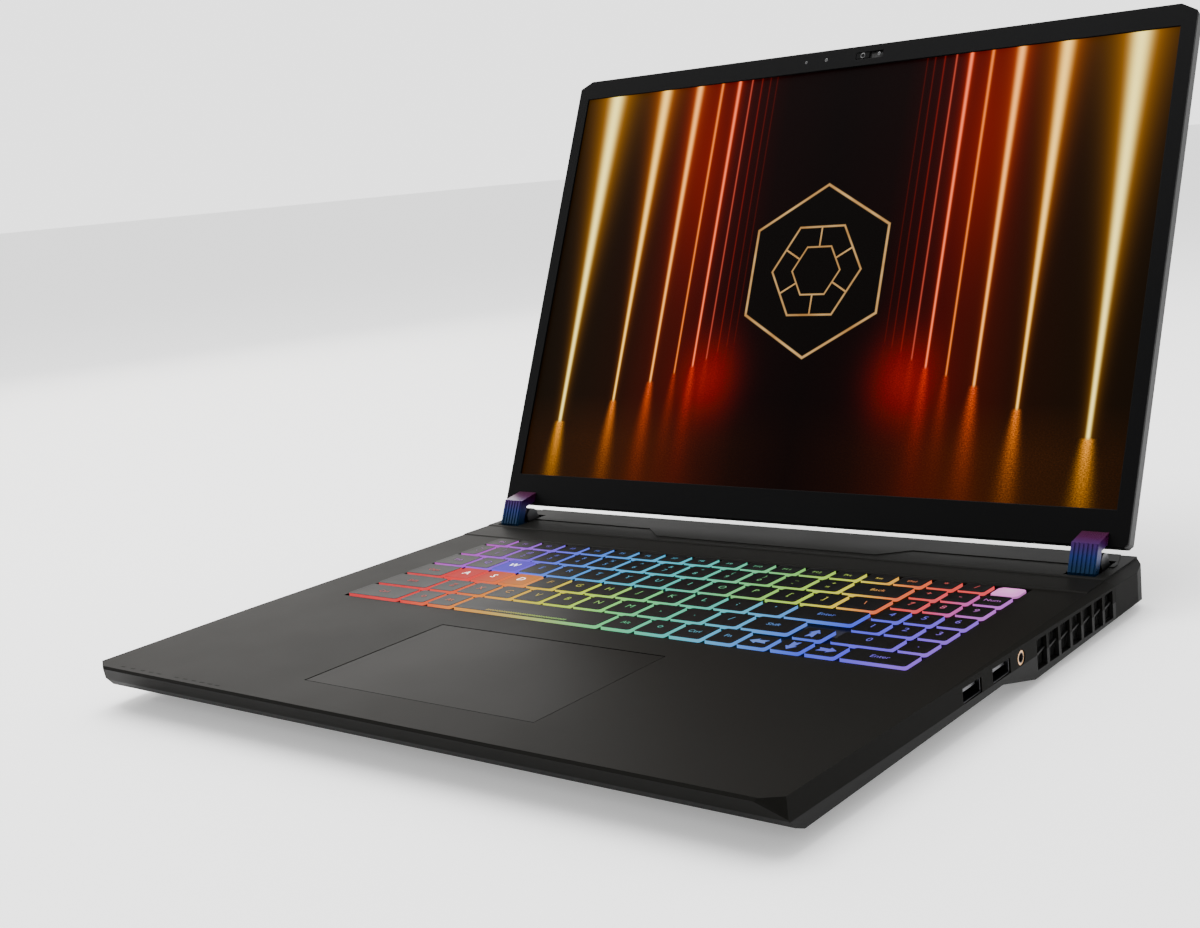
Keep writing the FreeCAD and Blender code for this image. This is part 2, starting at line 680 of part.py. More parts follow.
keep(block("keyboard_plate", ("-keys_left - well_margin - plate_lip", f"{keys_right} + well_margin + plate_lip"),
           (f"{keys_front} - well_margin - plate_lip", f"{keys_back} + well_margin + plate_lip"),
           (f"{deck_under} - plate_thickness", deck_under)))
key_top = "(palm_height + key_proud)"
pad_row = "(row_pitch * 5 / 6)"


def key(name, left, width, front, depth):
    """One tapered keycap: its place and pitch along the row, less the gap to its neighbours."""
    solid = doc.addObject("Part::Wedge", name)
    solid.Label = name
    solid.Placement = FreeCAD.Placement(FreeCAD.Vector(0, 0, 0), FreeCAD.Rotation(FreeCAD.Vector(1, 0, 0), 90))
    right = f"({left} + {width} - key_gap)"
    back = f"({front} + {depth} - key_gap)"
    return bind(solid, {
        "Xmin": left,
        "Xmax": right,
        "X2min": f"{left} + key_taper",
        "X2max": f"{right} - key_taper",
        "Ymin": f"{key_top} - key_height",
        "Ymax": key_top,
        "Zmin": f"-{back}",
        "Zmax": f"-{front}",
        "Z2min": f"key_taper - {back}",
        "Z2max": f"-{front} - key_taper",
    })


# each row runs from the left edge, its widths in key pitches
rows = {
    "bottom_row": [1.95, 1, 0.95, 4.8, 1, 1, 1],
    "lower_row": [1.95] + [1] * 10 + [1.4],
    "home_row": [1.43] + [1] * 11 + [1.95],
    "upper_row": [1.2] + [1] * 12 + [1.18],
    "number_row": [0.72] + [1] * 12 + [1.66],
}
single_keys = {
    ("bottom_row", 3): "space_key",
    ("lower_row", 0): "left_shift_key",
    ("lower_row", 11): "right_shift_key",
    ("home_row", 0): "caps_key",
    ("home_row", 12): "enter_key",
    ("upper_row", 0): "tab_key",
    ("number_row", 13): "backspace_key",
}
lit_keys = [("home_row", 1), ("home_row", 2), ("home_row", 3), ("upper_row", 2)]
lit_solids = []
for level, (row_name, widths) in enumerate(rows.items()):
    left = 0
    solids = []
    for index, width in enumerate(widths):
        spot = (row_name, index)
        name = single_keys.get(spot, f"{row_name}_{index}")
        span = f"{width} * key_pitch"
        if spot == ("lower_row", 11):  # up to the arrow key beside it
            span = f"(11.7 * key_pitch + 2 * arrow_pitch - arrow_shift_gap - {left:.2f} * key_pitch)"
        elif index == len(widths) - 1 and row_name != "bottom_row":  # up to the number pad
            span = f"({pad_left} - pad_gap + keys_left - {left:.2f} * key_pitch)"
        cap = key(name, f"(-keys_left + {left:.2f} * key_pitch)", span,
                  f"({keys_front} + {level} * row_pitch)", "row_pitch")
        if spot in single_keys:
            keep(cap)
        elif spot in lit_keys:
            lit_solids.append(cap)
        else:
            solids.append(cap)
        left += width
    if row_name == "bottom_row":
        solids.append(key("function_shift", f"(-keys_left + {left:.2f} * key_pitch)", "arrow_pitch",
                          keys_front, "row_pitch"))
        arrow_left = f"(-keys_left + {left:.2f} * key_pitch + arrow_pitch)"
    keep(group(row_name + "_keys", solids))
keep(group("lit_keys", lit_solids))
arrows = [key(f"arrow_{index}", f"({arrow_left} + {index} * arrow_pitch)", "arrow_pitch", keys_front, pad_row)
          for index in range(3)]
arrows.append(key("arrow_up", f"({arrow_left} + arrow_pitch)", "arrow_pitch", f"({keys_front} + {pad_row})", pad_row))
keep(group("arrow_keys", arrows))
function_front = f"({keys_front} + 5 * row_pitch)"
function_pitch = f"(({pad_left} + keys_left) / function_count)"
function_caps = [key(f"function_{index}", f"(-keys_left + {index} * {function_pitch})", function_pitch,
                     function_front, "function_depth + key_gap") for index in range(sizes["function_count"])]
function_caps += [key(f"function_pad_{index}", f"({pad_left} + {index} * pad_pitch)", "pad_pitch",
                      function_front, "function_depth + key_gap") for index in range(2)]
keep(group("function_keys", function_caps))
keep(key("power_key", f"({pad_left} + 2 * pad_pitch)", "pad_pitch", function_front, "function_depth + key_gap"))
pad_caps = [key("pad_zero", pad_left, "2 * pad_pitch", f"({keys_front} + {pad_row})", pad_row),
            key("pad_point", f"({pad_left} + 2 * pad_pitch)", "pad_pitch", f"({keys_front} + {pad_row})", pad_row)]
for level in range(2, 6):
    for column in range(3):
        pad_caps.append(key(f"pad_{level}_{column}", f"({pad_left} + {column} * pad_pitch)", "pad_pitch",
                            f"({keys_front} + {level} * {pad_row})", pad_row))
keep(group("number_pad_keys", pad_caps))
pad_enter_left = f"({arrow_left} + 3 * arrow_pitch)"
keep(key("pad_enter_key", pad_enter_left, f"({keys_right} + key_gap - {pad_enter_left})", keys_front, pad_row))

keep(block("touchpad", (f"{touch_left} + touchpad_gap", f"{touch_right} - touchpad_gap"),
           (f"{touch_front} + touchpad_gap", f"{touch_rear} - touchpad_gap"),
           ("palm_height - 0.1 - touchpad_thickness", "palm_height - 0.1")))

# ---- hinges -----------------------------------------------------------------------------

leg_front = f"({bezel_front} + arm_reach)"
leg_back = f"({leg_front} - arm_leg)"


def hinge(side, name):
    """A ribbed arm on the lid turns on a steel shaft held by two ears of the base's bracket."""
    middle = f"({side} * hinge_spread)"
    ear_start = "(barrel_width / 2 + ear_gap)"
    leg = profile(f"{name}_arm_leg", [
        (f"-{bezel_front}", "arm_top"),
        (f"-{leg_front}", "arm_shoulder"),
        (f"-{leg_front}", "-arm_bend"),
        (f"-{leg_front} + 1.8", "1 - arm_tip"),
        (f"-{leg_back} - 0.7", "-arm_tip"),
        (f"-{leg_back}", "2.6 - arm_tip"),
        (f"-{leg_back}", "arm_shoulder - 2.2"),
        (f"-{bezel_front}", "lid_start + 1.1"),
    ], "YZ", f"{middle} - arm_width / 2", "arm_width")
    ribs = [block(f"{name}_rib_{index}",
                  (f"{middle} + {index - 2.5} * rib_pitch - rib_width / 2",
                   f"{middle} + {index - 2.5} * rib_pitch + rib_width / 2"),
                  (f"-{leg_front} - rib_height", f"-{leg_front} + 0.5"),
                  ("-arm_bend", "arm_shoulder")) for index in range(6)]
    web = profile(f"{name}_arm_web", [
        ("0", "-barrel_radius + 0.03"),
        (f"-{leg_back} - 0.7", "-arm_tip"),
        (f"-{leg_front} + 2", "2 - arm_tip"),
        (f"-{leg_back} - 1", "-5"),
        ("-3.6", "-1"),
    ], "YZ", f"{middle} - barrel_width / 2", "barrel_width")
    barrel = rod(f"{name}_barrel", (f"{middle} - barrel_width / 2", "0", "0"), "barrel_radius", "barrel_width", "x")
    bore = rod(f"{name}_barrel_bore", (f"{middle} - barrel_width", "0", "0"), "shaft_radius + running_gap",
               "2 * barrel_width", "x")
    arm = keep(on_lid(cut(f"{name}_hinge_arm", fuse(f"{name}_arm_form", [leg, web, barrel] + ribs), [bore])))

    ears = []
    for ear, offset in (("inner", f"-{ear_start} - ear_thickness"), ("outer", ear_start)):
        start = f"({middle} + {offset})"
        ears.append(rod(f"{name}_{ear}_ear", (start, axis_y, axis_height), "barrel_radius", "ear_thickness", "x"))
        ears.append(profile(f"{name}_{ear}_tail", [
            (from_axis("0"), f"{axis_height} + barrel_radius - 0.02"),
            (from_axis("-3"), f"{axis_height} - 2.6"),
            (from_axis("4"), f"{axis_height} - 6.3"),
            (from_axis("rear_reach - shell_wall - 8.5"), f"{axis_height} - 6.3"),
            (from_axis("rear_reach - shell_wall - 8.5"), f"{axis_height} - hinge_rise - deck_wall + 2 * ridge_step - 0.5"),
            (from_axis("slot_rear - 0.4"), f"{axis_height} - hinge_rise - deck_wall + 2 * ridge_step - 0.5"),
        ], "YZ", start, "ear_thickness"))
    post = block(f"{name}_bracket_post",
                 (f"{middle} - {ear_start} - ear_thickness", f"{middle} + {ear_start} + ear_thickness"),
                 (from_axis("rear_reach - shell_wall - 8.5"), from_axis("rear_reach - shell_wall - 5.2")),
                 (f"{floor_top}", f"{axis_height} - hinge_rise - deck_wall + 2 * ridge_step - 0.5"))
    seat = rod(f"{name}_shaft_seat", (f"{middle} - arm_width", axis_y, axis_height), "shaft_radius",
               "2 * arm_width", "x")
    keep(cut(f"{name}_hinge_bracket", fuse(f"{name}_bracket_form", ears + [post]), [seat]))
    keep(rod(f"{name}_hinge_shaft", (f"{middle} - {ear_start} - ear_thickness", axis_y, axis_height),
             "shaft_radius", f"2 * ({ear_start} + ear_thickness)", "x"))


hinge(-1, "left")
hinge(1, "right")

# ---- lid --------------------------------------------------------------------------------


def lid_outline(inset):
    half = f"({half_lid} - {inset})"
    top = f"({lid_top} - {inset})"
    foot = f"(lid_start + {inset})"
    return [(f"-{half} + lid_foot", foot), (f"{half} - lid_foot", foot), (half, f"{foot} + lid_foot"),
            (half, f"{top} - lid_corner_drop"), (f"{half} - lid_corner", top),
            (f"-{half} + lid_corner", top), (f"-{half}", f"{top} - lid_corner_drop"), (f"-{half}", f"{foot} + lid_foot")]


bezel_back = f"(-{bezel_front} + bezel_thickness)"
lid_outer = profile("lid_outer", lid_outline("0"), "XZ", bezel_back, f"{lid_back} - {bezel_back}")
lid_hollow = profile("lid_hollow", lid_outline("lid_wall"), "XZ", f"{bezel_back} - 1",
                     f"{lid_back} - {bezel_back} + 1 - lid_wall")
keep(on_lid(cut("lid_cover", lid_outer, [lid_hollow])))
camera_middle = f"({display_top} + top_bezel / 2)"
bezel_plate = profile("bezel_plate", lid_outline("0"), "XZ", f"-{bezel_front}", "bezel_thickness")
window = block("display_window", ("-panel_width / 2", "panel_width / 2"), (f"-{bezel_front} - 1", "5"),
               (display_foot, display_top))
shutter_slot = block("shutter_slot", ("lens_place - shutter_width / 2 - shutter_gap",
                                      "lens_place + shutter_width / 2 + shutter_gap + shutter_travel"),
                     (f"-{bezel_front} - 1", "5"),
                     (f"{camera_middle} - shutter_height / 2 - shutter_gap",
                      f"{camera_middle} + shutter_height / 2 + shutter_gap"))
keep(on_lid(cut("screen_bezel", bezel_plate, [window, shutter_slot])))
keep(on_lid(group("display_panel", [
    block("display_sheet", ("-panel_width / 2 - panel_lip", "panel_width / 2 + panel_lip"),
          (bezel_back, f"{bezel_back} + panel_thickness"),
          (f"{display_foot} - panel_lip", f"{display_top} + panel_lip"))])))
camera_board = block("camera_board", ("-camera_width / 2", "camera_width / 2"),
                     (bezel_back, f"{bezel_back} + camera_depth"),
                     (f"{camera_middle} - camera_height / 2 + 0.6", f"{camera_middle} + camera_height / 2 + 0.6"))
lens_bore = rod("lens_bore", ("lens_place", f"{bezel_back} - 1", camera_middle), "lens_radius", "1.8", "y")
keep(on_lid(cut("camera_module", camera_board, [lens_bore])))
keep(on_lid(group("camera_lens", [
    rod("lens_disc", ("lens_place", f"{bezel_back} + 0.2", camera_middle), "lens_radius", "0.6", "y")])))
keep(on_lid(group("camera_shutter", [
    block("shutter_bar", ("lens_place - shutter_width / 2", "lens_place + shutter_width / 2"),
          (f"-{bezel_front}", f"-{bezel_front} + shutter_thickness"),
          (f"{camera_middle} - shutter_height / 2", f"{camera_middle} + shutter_height / 2"))])))

# ---- checks and export ------------------------------------------------------------------

doc.recompute()
for item in doc.Objects:
    if "Invalid" in item.State or "Error" in item.State:
        raise RuntimeError(f"{item.Label} did not build: {item.State}")
os.makedirs("parts", exist_ok=True)
for item in nodes:
    shape = item.Shape
    if shape.isNull() or not shape.isValid() or not shape.Solids:
        raise RuntimeError(f"{item.Label} has no valid solid")
    shape.exportStep(os.path.join("parts", item.Label + ".step"))
    print(f"{item.Label}: {len(shape.Solids)} solid(s), {shape.Volume / 1000:.2f} cm3")
print(f"{len(nodes)} nodes")
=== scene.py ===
import bpy
import json
import math
from mathutils import Matrix, Vector


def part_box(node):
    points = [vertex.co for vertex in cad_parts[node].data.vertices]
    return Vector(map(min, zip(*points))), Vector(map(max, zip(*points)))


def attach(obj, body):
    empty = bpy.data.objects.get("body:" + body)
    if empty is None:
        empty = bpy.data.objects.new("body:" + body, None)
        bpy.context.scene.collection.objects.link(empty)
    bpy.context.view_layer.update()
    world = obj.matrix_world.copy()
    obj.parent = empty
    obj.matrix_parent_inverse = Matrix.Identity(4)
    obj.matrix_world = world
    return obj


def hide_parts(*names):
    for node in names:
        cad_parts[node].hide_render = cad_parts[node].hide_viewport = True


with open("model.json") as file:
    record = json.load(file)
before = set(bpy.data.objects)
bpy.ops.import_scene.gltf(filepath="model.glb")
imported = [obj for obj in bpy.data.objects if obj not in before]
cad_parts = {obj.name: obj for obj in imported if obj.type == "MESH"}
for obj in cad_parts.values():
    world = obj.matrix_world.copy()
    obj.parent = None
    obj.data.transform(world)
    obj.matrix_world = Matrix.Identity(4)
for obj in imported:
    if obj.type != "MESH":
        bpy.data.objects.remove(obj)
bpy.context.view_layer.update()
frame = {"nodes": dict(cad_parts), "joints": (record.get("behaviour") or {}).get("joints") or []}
nodes = frame["nodes"]
print("frame loaded:", len(nodes), "pieces")

mm = 0.001
lidJoint = [joint for joint in frame["joints"] if joint["name"] == "lid_hinge"][0]
hingeAt = Vector(lidJoint["pos_m"])
lidLean = math.radians(25)  # the lid leans back this far from upright


def addNode(tree, kind, place, **settings):
    node = tree.nodes.new(kind)
    node.location = place
    for name, value in settings.items():
        setattr(node, name, value)
    return node


def setInputs(node, values):
    for name, value in values.items():
        node.inputs[name].default_value = value
    return node


def newGroup(name, inputs, outputs):
    tree = bpy.data.node_groups.new(name, "ShaderNodeTree")
    for label, kind, value in inputs:
        socket = tree.interface.new_socket(label, in_out="INPUT", socket_type=kind)
        socket.default_value = value
    for label, kind in outputs:
        tree.interface.new_socket(label, in_out="OUTPUT", socket_type=kind)
    start = addNode(tree, "NodeGroupInput", (-900, 0))
    end = addNode(tree, "NodeGroupOutput", (900, 0))
    return tree, start, end


def mathNode(tree, operation, first, second=None, third=None, clamp=False):
    node = addNode(tree, "ShaderNodeMath", (0, 0), operation=operation, use_clamp=clamp)
    for slot, value in enumerate((first, second, third)):
        if value is None:
            continue
        if isinstance(value, (int, float)):
            node.inputs[slot].default_value = value
        else:
            tree.links.new(value, node.inputs[slot])
    return node.outputs[0]


def times(tree, first, second, clamp=False):
    return mathNode(tree, "MULTIPLY", first, second, clamp=clamp)


def plus(tree, first, second, clamp=False):
    return mathNode(tree, "ADD", first, second, clamp=clamp)


def minus(tree, first, second):
    return mathNode(tree, "SUBTRACT", first, second)


def mixColour(tree, factor, first, second, blend="MIX"):
    node = addNode(tree, "ShaderNodeMix", (0, 0), data_type="RGBA", blend_type=blend)
    node.clamp_factor = True
    for slot, value in ((0, factor), (6, first), (7, second)):
        if isinstance(value, (int, float)):
            node.inputs[slot].default_value = value
        elif isinstance(value, tuple):
            node.inputs[slot].default_value = (*value[:3], 1)
        else:
            tree.links.new(value, node.inputs[slot])
    return node.outputs[2]


def rampNode(tree, factor, stops, interpolation="LINEAR"):
    node = addNode(tree, "ShaderNodeValToRGB", (0, 0))
    node.color_ramp.interpolation = interpolation
    elements = node.color_ramp.elements
    while len(elements) < len(stops):
        elements.new(0.5)
    for element, (place, colour) in zip(elements, stops):
        element.position = place
        element.color = (*colour[:3], 1)
    tree.links.new(factor, node.inputs[0])
    return node.outputs[0]


# shared effects
def makeGrainGroup():
    # fine moulded or anodised grain, with broad cloudy marks from handling
    tree, start, end = newGroup("surfaceGrain", [
        ("Grain Size", "NodeSocketFloat", 2200.0), ("Cloud Size", "NodeSocketFloat", 14.0),
        ("Roughness", "NodeSocketFloat", 0.4), ("Spread", "NodeSocketFloat", 0.1)],
        [("Roughness", "NodeSocketFloat"), ("Height", "NodeSocketFloat"), ("Cloud", "NodeSocketFloat")])
    coords = addNode(tree, "ShaderNodeTexCoord", (-900, -300))
    grain = setInputs(addNode(tree, "ShaderNodeTexNoise", (-500, 200)), {"Detail": 3.0, "Roughness": 0.6})
    cloud = setInputs(addNode(tree, "ShaderNodeTexNoise", (-500, -200)), {"Detail": 5.0, "Roughness": 0.55})
    for texture, size in ((grain, "Grain Size"), (cloud, "Cloud Size")):
        tree.links.new(coords.outputs["Object"], texture.inputs["Vector"])
        tree.links.new(start.outputs[size], texture.inputs["Scale"])
    cloudValue = cloud.outputs["Fac"]
    grainValue = grain.outputs["Fac"]
    both = plus(tree, times(tree, cloudValue, 1.4), times(tree, grainValue, 0.6))
    offset = times(tree, minus(tree, both, 1.0), start.outputs["Spread"])
    tree.links.new(plus(tree, start.outputs["Roughness"], offset, clamp=True), end.inputs["Roughness"])
    tree.links.new(grainValue, end.inputs["Height"])
    tree.links.new(cloudValue, end.inputs["Cloud"])
    return tree


def makeDustGroup():
    # sparse pale specks, gathered in noisy patches
    tree, start, end = newGroup("lightDust", [("Amount", "NodeSocketFloat", 0.5)],
                                [("Mask", "NodeSocketFloat")])
    coords = addNode(tree, "ShaderNodeTexCoord", (-900, -300))
    specks = setInputs(addNode(tree, "ShaderNodeTexVoronoi", (-500, 100)), {"Scale": 420.0})
    tree.links.new(coords.outputs["Object"], specks.inputs["Vector"])
    patches = setInputs(addNode(tree, "ShaderNodeTexNoise", (-500, -200)), {"Scale": 25.0, "Detail": 4.0})
    tree.links.new(coords.outputs["Object"], patches.inputs["Vector"])
    dots = mathNode(tree, "LESS_THAN", specks.outputs["Distance"], 0.055)
    where = times(tree, minus(tree, patches.outputs["Fac"], 0.45), 3.0, clamp=True)
    mask = times(tree, times(tree, dots, where), start.outputs["Amount"], clamp=True)
    tree.links.new(mask, end.inputs["Mask"])
    return tree


def makeLidPlaceGroup():
    # across and up on the lid, in millimetres from its hinge axis
    tree, start, end = newGroup("lidPlace", [], [("Across", "NodeSocketFloat"), ("Up", "NodeSocketFloat")])
    coords = addNode(tree, "ShaderNodeTexCoord", (-900, -300))
    split = addNode(tree, "ShaderNodeSeparateXYZ", (-700, -300))
    tree.links.new(coords.outputs["Object"], split.inputs[0])
    back = minus(tree, split.outputs[1], hingeAt.y)
    rise = minus(tree, split.outputs[2], hingeAt.z)
    up = plus(tree, times(tree, back, math.sin(lidLean)), times(tree, rise, math.cos(lidLean)))
    tree.links.new(times(tree, split.outputs[0], 1000.0), end.inputs["Across"])
    tree.links.new(times(tree, up, 1000.0), end.inputs["Up"])
    return tree


surfaceGrain = makeGrainGroup()
lightDust = makeDustGroup()
lidPlace = makeLidPlaceGroup()


def newMaterial(name):
    material = bpy.data.materials.new(name)
    material.use_nodes = True
    tree = material.node_tree
    return material, tree, tree.nodes["Principled BSDF"]


def addGrain(tree, shader, values):
    grain = setInputs(addNode(tree, "ShaderNodeGroup", (-700, 0), node_tree=surfaceGrain), values)
    tree.links.new(grain.outputs["Roughness"], shader.inputs["Roughness"])
    return grain


def addBump(tree, shader, height, strength, depth):
    bump = setInputs(addNode(tree, "ShaderNodeBump", (-300, -300)), {"Strength": strength, "Distance": depth})
    tree.links.new(height, bump.inputs["Height"])
    tree.links.new(bump.outputs["Normal"], shader.inputs["Normal"])


def makeFinish(name, look):
    # a solid finish with grain in its colour, roughness and surface
    material, tree, shader = newMaterial(name)
    grain = addGrain(tree, shader, {"Grain Size": look.get("grain", 2200.0), "Cloud Size": 14.0,
                                    "Roughness": look["roughness"], "Spread": look.get("spread", 0.1)})
    colour = mixColour(tree, grain.outputs["Cloud"], look["colour"], look.get("second", look["colour"]))
    if look.get("dust"):
        dust = addNode(tree, "ShaderNodeGroup", (-700, -300), node_tree=lightDust)
        dust.inputs["Amount"].default_value = look["dust"]
        colour = mixColour(tree, dust.outputs["Mask"], colour, (0.35, 0.34, 0.32))
    tree.links.new(colour, shader.inputs["Base Color"])
    addBump(tree, shader, grain.outputs["Height"], look.get("bump", 0.15), 0.03 * mm)
    shader.inputs["Metallic"].default_value = look.get("metallic", 0.0)
    if look.get("coat"):
        shader.inputs["Coat Weight"].default_value = look["coat"]
        shader.inputs["Coat Roughness"].default_value = 0.1
    shader.inputs["Specular IOR Level"].default_value = look.get("specular", 0.5)
    return material


finishes = {
    "deckMetal": {"colour": (0.0034, 0.0033, 0.0028), "second": (0.005, 0.0048, 0.0041), "roughness": 0.5,
                  "spread": 0.09, "bump": 0.25, "dust": 0.05, "specular": 0.02},
    "rearShell": {"colour": (0.0034, 0.0033, 0.0029), "second": (0.005, 0.0049, 0.0043), "roughness": 0.55,
                  "spread": 0.12, "bump": 0.3, "dust": 0.05, "specular": 0.03},
    "trayPlastic": {"colour": (0.0035, 0.0035, 0.0033), "second": (0.005, 0.005, 0.0047), "roughness": 0.55,
                    "spread": 0.15, "grain": 1500.0, "bump": 0.5, "specular": 0.1},
    "lidMetal": {"colour": (0.0045, 0.0045, 0.0046), "second": (0.0066, 0.0066, 0.0067), "roughness": 0.42,
                 "spread": 0.08, "bump": 0.2, "dust": 0.08, "specular": 0.16},
    "bezelPlastic": {"colour": (0.0017, 0.0017, 0.0018), "second": (0.0023, 0.0023, 0.0025), "roughness": 0.5,
                     "spread": 0.1, "bump": 0.2, "specular": 0.04},
    "padGlass": {"colour": (0.003, 0.0029, 0.0026), "second": (0.0044, 0.0042, 0.0037), "roughness": 0.44,
                 "spread": 0.07, "bump": 0.1, "specular": 0.018},
    "keyPlate": {"colour": (0.0025, 0.0025, 0.003), "second": (0.004, 0.004, 0.0045),
                 "roughness": 0.6, "spread": 0.1, "specular": 0.1},
    "keyTop": {"colour": (0.0012, 0.0012, 0.0013), "second": (0.0019, 0.0019, 0.002), "roughness": 0.45,
               "spread": 0.12, "bump": 0.25, "specular": 0.035},
    "hingeSteel": {"colour": (0.06, 0.06, 0.065), "second": (0.1, 0.1, 0.105), "roughness": 0.32,
                   "metallic": 0.9, "spread": 0.15},
    "socketSteel": {"colour": (0.05, 0.05, 0.055), "second": (0.09, 0.09, 0.095), "roughness": 0.3,
                    "metallic": 1.0, "spread": 0.12},
    "footRubber": {"colour": (0.012, 0.012, 0.012), "second": (0.02, 0.02, 0.02), "roughness": 0.75,
                   "spread": 0.2, "grain": 900.0, "bump": 0.6},
    "screwSteel": {"colour": (0.03, 0.03, 0.03), "second": (0.06, 0.06, 0.06),
                   "roughness": 0.35, "metallic": 0.9},
    "circuitBoard": {"colour": (0.004, 0.018, 0.012), "second": (0.006, 0.028, 0.018), "roughness": 0.35,
                     "spread": 0.2, "grain": 700.0},
    "bareFins": {"colour": (0.5, 0.5, 0.51), "second": (0.6, 0.6, 0.61), "roughness": 0.3, "metallic": 1.0},
    "copper": {"colour": (0.6, 0.25, 0.13), "second": (0.72, 0.34, 0.2), "roughness": 0.28, "metallic": 1.0},
    "darkPlastic": {"colour": (0.006, 0.006, 0.006), "second": (0.01, 0.01, 0.01),
                    "roughness": 0.45, "spread": 0.15, "specular": 0.2},
    "ventWire": {"colour": (0.009, 0.009, 0.009), "second": (0.014, 0.014, 0.013),
                 "roughness": 0.5, "spread": 0.15, "specular": 0.08},
    # painted shade for the slots in the front edge
    "slotShade": {"colour": (0.001, 0.001, 0.001), "second": (0.002, 0.002, 0.002),
                 "roughness": 0.6, "spread": 0.1, "specular": 0.02},
    "stripDot": {"colour": (0.02, 0.02, 0.021), "second": (0.035, 0.035, 0.036),
                 "roughness": 0.25, "spread": 0.1},
    "lensGlass": {"colour": (0.004, 0.004, 0.01), "second": (0.01, 0.006, 0.02),
                  "roughness": 0.06, "spread": 0.02, "coat": 1.0},
}
materials = {name: makeFinish(name, look) for name, look in finishes.items()}
print("finishes made:", len(materials))


# what each carried-over piece is made of
finishOf = {
    "top_cover": "deckMetal", "rear_housing": "rearShell", "bottom_cover": "trayPlastic",
    "lid_cover": "lidMetal", "screen_bezel": "bezelPlastic", "touchpad": "padGlass",
    "keyboard_plate": "keyPlate", "rubber_feet": "footRubber",
    "bottom_screws": "screwSteel", "mainboard": "circuitBoard",
    "memory_modules": "circuitBoard", "storage_drive": "circuitBoard", "wireless_card": "circuitBoard",
    "processor": "bareFins", "graphics_chip": "bareFins", "heat_pipes": "copper", "left_heatsink": "bareFins",
    "right_heatsink": "bareFins", "camera_lens": "lensGlass", "camera_shutter": "bezelPlastic",
    "camera_module": "darkPlastic",
}
groupFinish = (("usb", "socketSteel"), ("inlet", "socketSteel"), ("port", "socketSteel"),
               ("bracket", "hingeSteel"), ("shaft", "hingeSteel"))


def dress(node, material):
    node.data.materials.clear()
    node.data.materials.append(material)


for name, node in nodes.items():
    finish = finishOf.get(name, "darkPlastic")
    if name not in finishOf:
        for word, other in groupFinish:
            if word in name:
                finish = other
    dress(node, materials[finish])

# a fine rounded edge on the shells catches the light
edgeRounding = {
    "lid_cover": 0.5, "screen_bezel": 0.25, "top_cover": 0.3, "rear_housing": 0.3, "bottom_cover": 0.4,
    "touchpad": 0.15, "left_hinge_arm": 0.18, "right_hinge_arm": 0.18, "left_hinge_bracket": 0.2,
    "right_hinge_bracket": 0.2, "audio_jack": 0.12, "usb_port_front": 0.08, "usb_port_rear": 0.08,
    "rubber_feet": 0.5,
}
for name, radius in edgeRounding.items():
    node = nodes[name]
    weld = node.modifiers.new("weld", "WELD")
    weld.merge_threshold = 0.000002
    bevel = node.modifiers.new("edgeRounding", "BEVEL")
    bevel.width = radius * mm
    bevel.segments = 2
    bevel.limit_method = "ANGLE"
    bevel.angle_limit = math.radians(25)
    bevel.use_clamp_overlap = True
print("pieces dressed")


# audio socket: a gold ring round a dark bore; the bore's dark colour is the socket's own dark insides with
# painted shade
jackLook = {
    "boreRadius": 2.15, "bore": (0.004, 0.001, 0.001), "gold": (0.6, 0.3, 0.12), "paleGold": (0.75, 0.45, 0.22),
    "grain": 2500.0, "roughness": 0.3, "spread": 0.15,
}


def makeJackRing():
    material, tree, shader = newMaterial("jackRing")
    low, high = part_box("audio_jack")
    middle = (low + high) / 2
    coords = addNode(tree, "ShaderNodeTexCoord", (-1100, 0))
    split = addNode(tree, "ShaderNodeSeparateXYZ", (-900, 0))
    tree.links.new(coords.outputs["Object"], split.inputs[0])
    along = mathNode(tree, "POWER", minus(tree, split.outputs[1], middle.y), 2.0)
    rise = mathNode(tree, "POWER", minus(tree, split.outputs[2], middle.z), 2.0)
    reach = times(tree, mathNode(tree, "SQRT", plus(tree, along, rise)), 1000.0)
    outer = mathNode(tree, "GREATER_THAN", reach, jackLook["boreRadius"])
    grain = addGrain(tree, shader, {"Grain Size": jackLook["grain"], "Roughness": jackLook["roughness"],
                                    "Spread": jackLook["spread"]})
    gold = mixColour(tree, grain.outputs["Cloud"], jackLook["gold"], jackLook["paleGold"])
    # inside the bore radius the colour is painted dark: the socket's dark insides with painted shade
    tree.links.new(mixColour(tree, outer, jackLook["bore"], gold), shader.inputs["Base Color"])
    tree.links.new(outer, shader.inputs["Metallic"])
    return material


dress(nodes["audio_jack"], makeJackRing())


# hinge arms: metallic paint that runs from teal at the foot to magenta at the top, with painted shade in the
# near-black teal at the foot
hingePaintAndShade = {
    # the first stop, near-black teal at the foot of the arm, is painted shade
    "stops": [(0.0, (0.0, 0.012, 0.024)), (0.3, (0.0, 0.016, 0.05)), (0.5, (0.008, 0.02, 0.11)),
              (0.7, (0.035, 0.009, 0.085)), (0.85, (0.04, 0.002, 0.035)), (1.0, (0.03, 0.0005, 0.016))],
    "low": -13.0, "high": 13.5, "roughness": 0.3, "grain": 3500.0, "cloud": 60.0, "spread": 0.15, "flake": 0.25,
    "bump": 0.15, "depth": 0.03, "metallic": 0.25, "specular": 0.2,
}


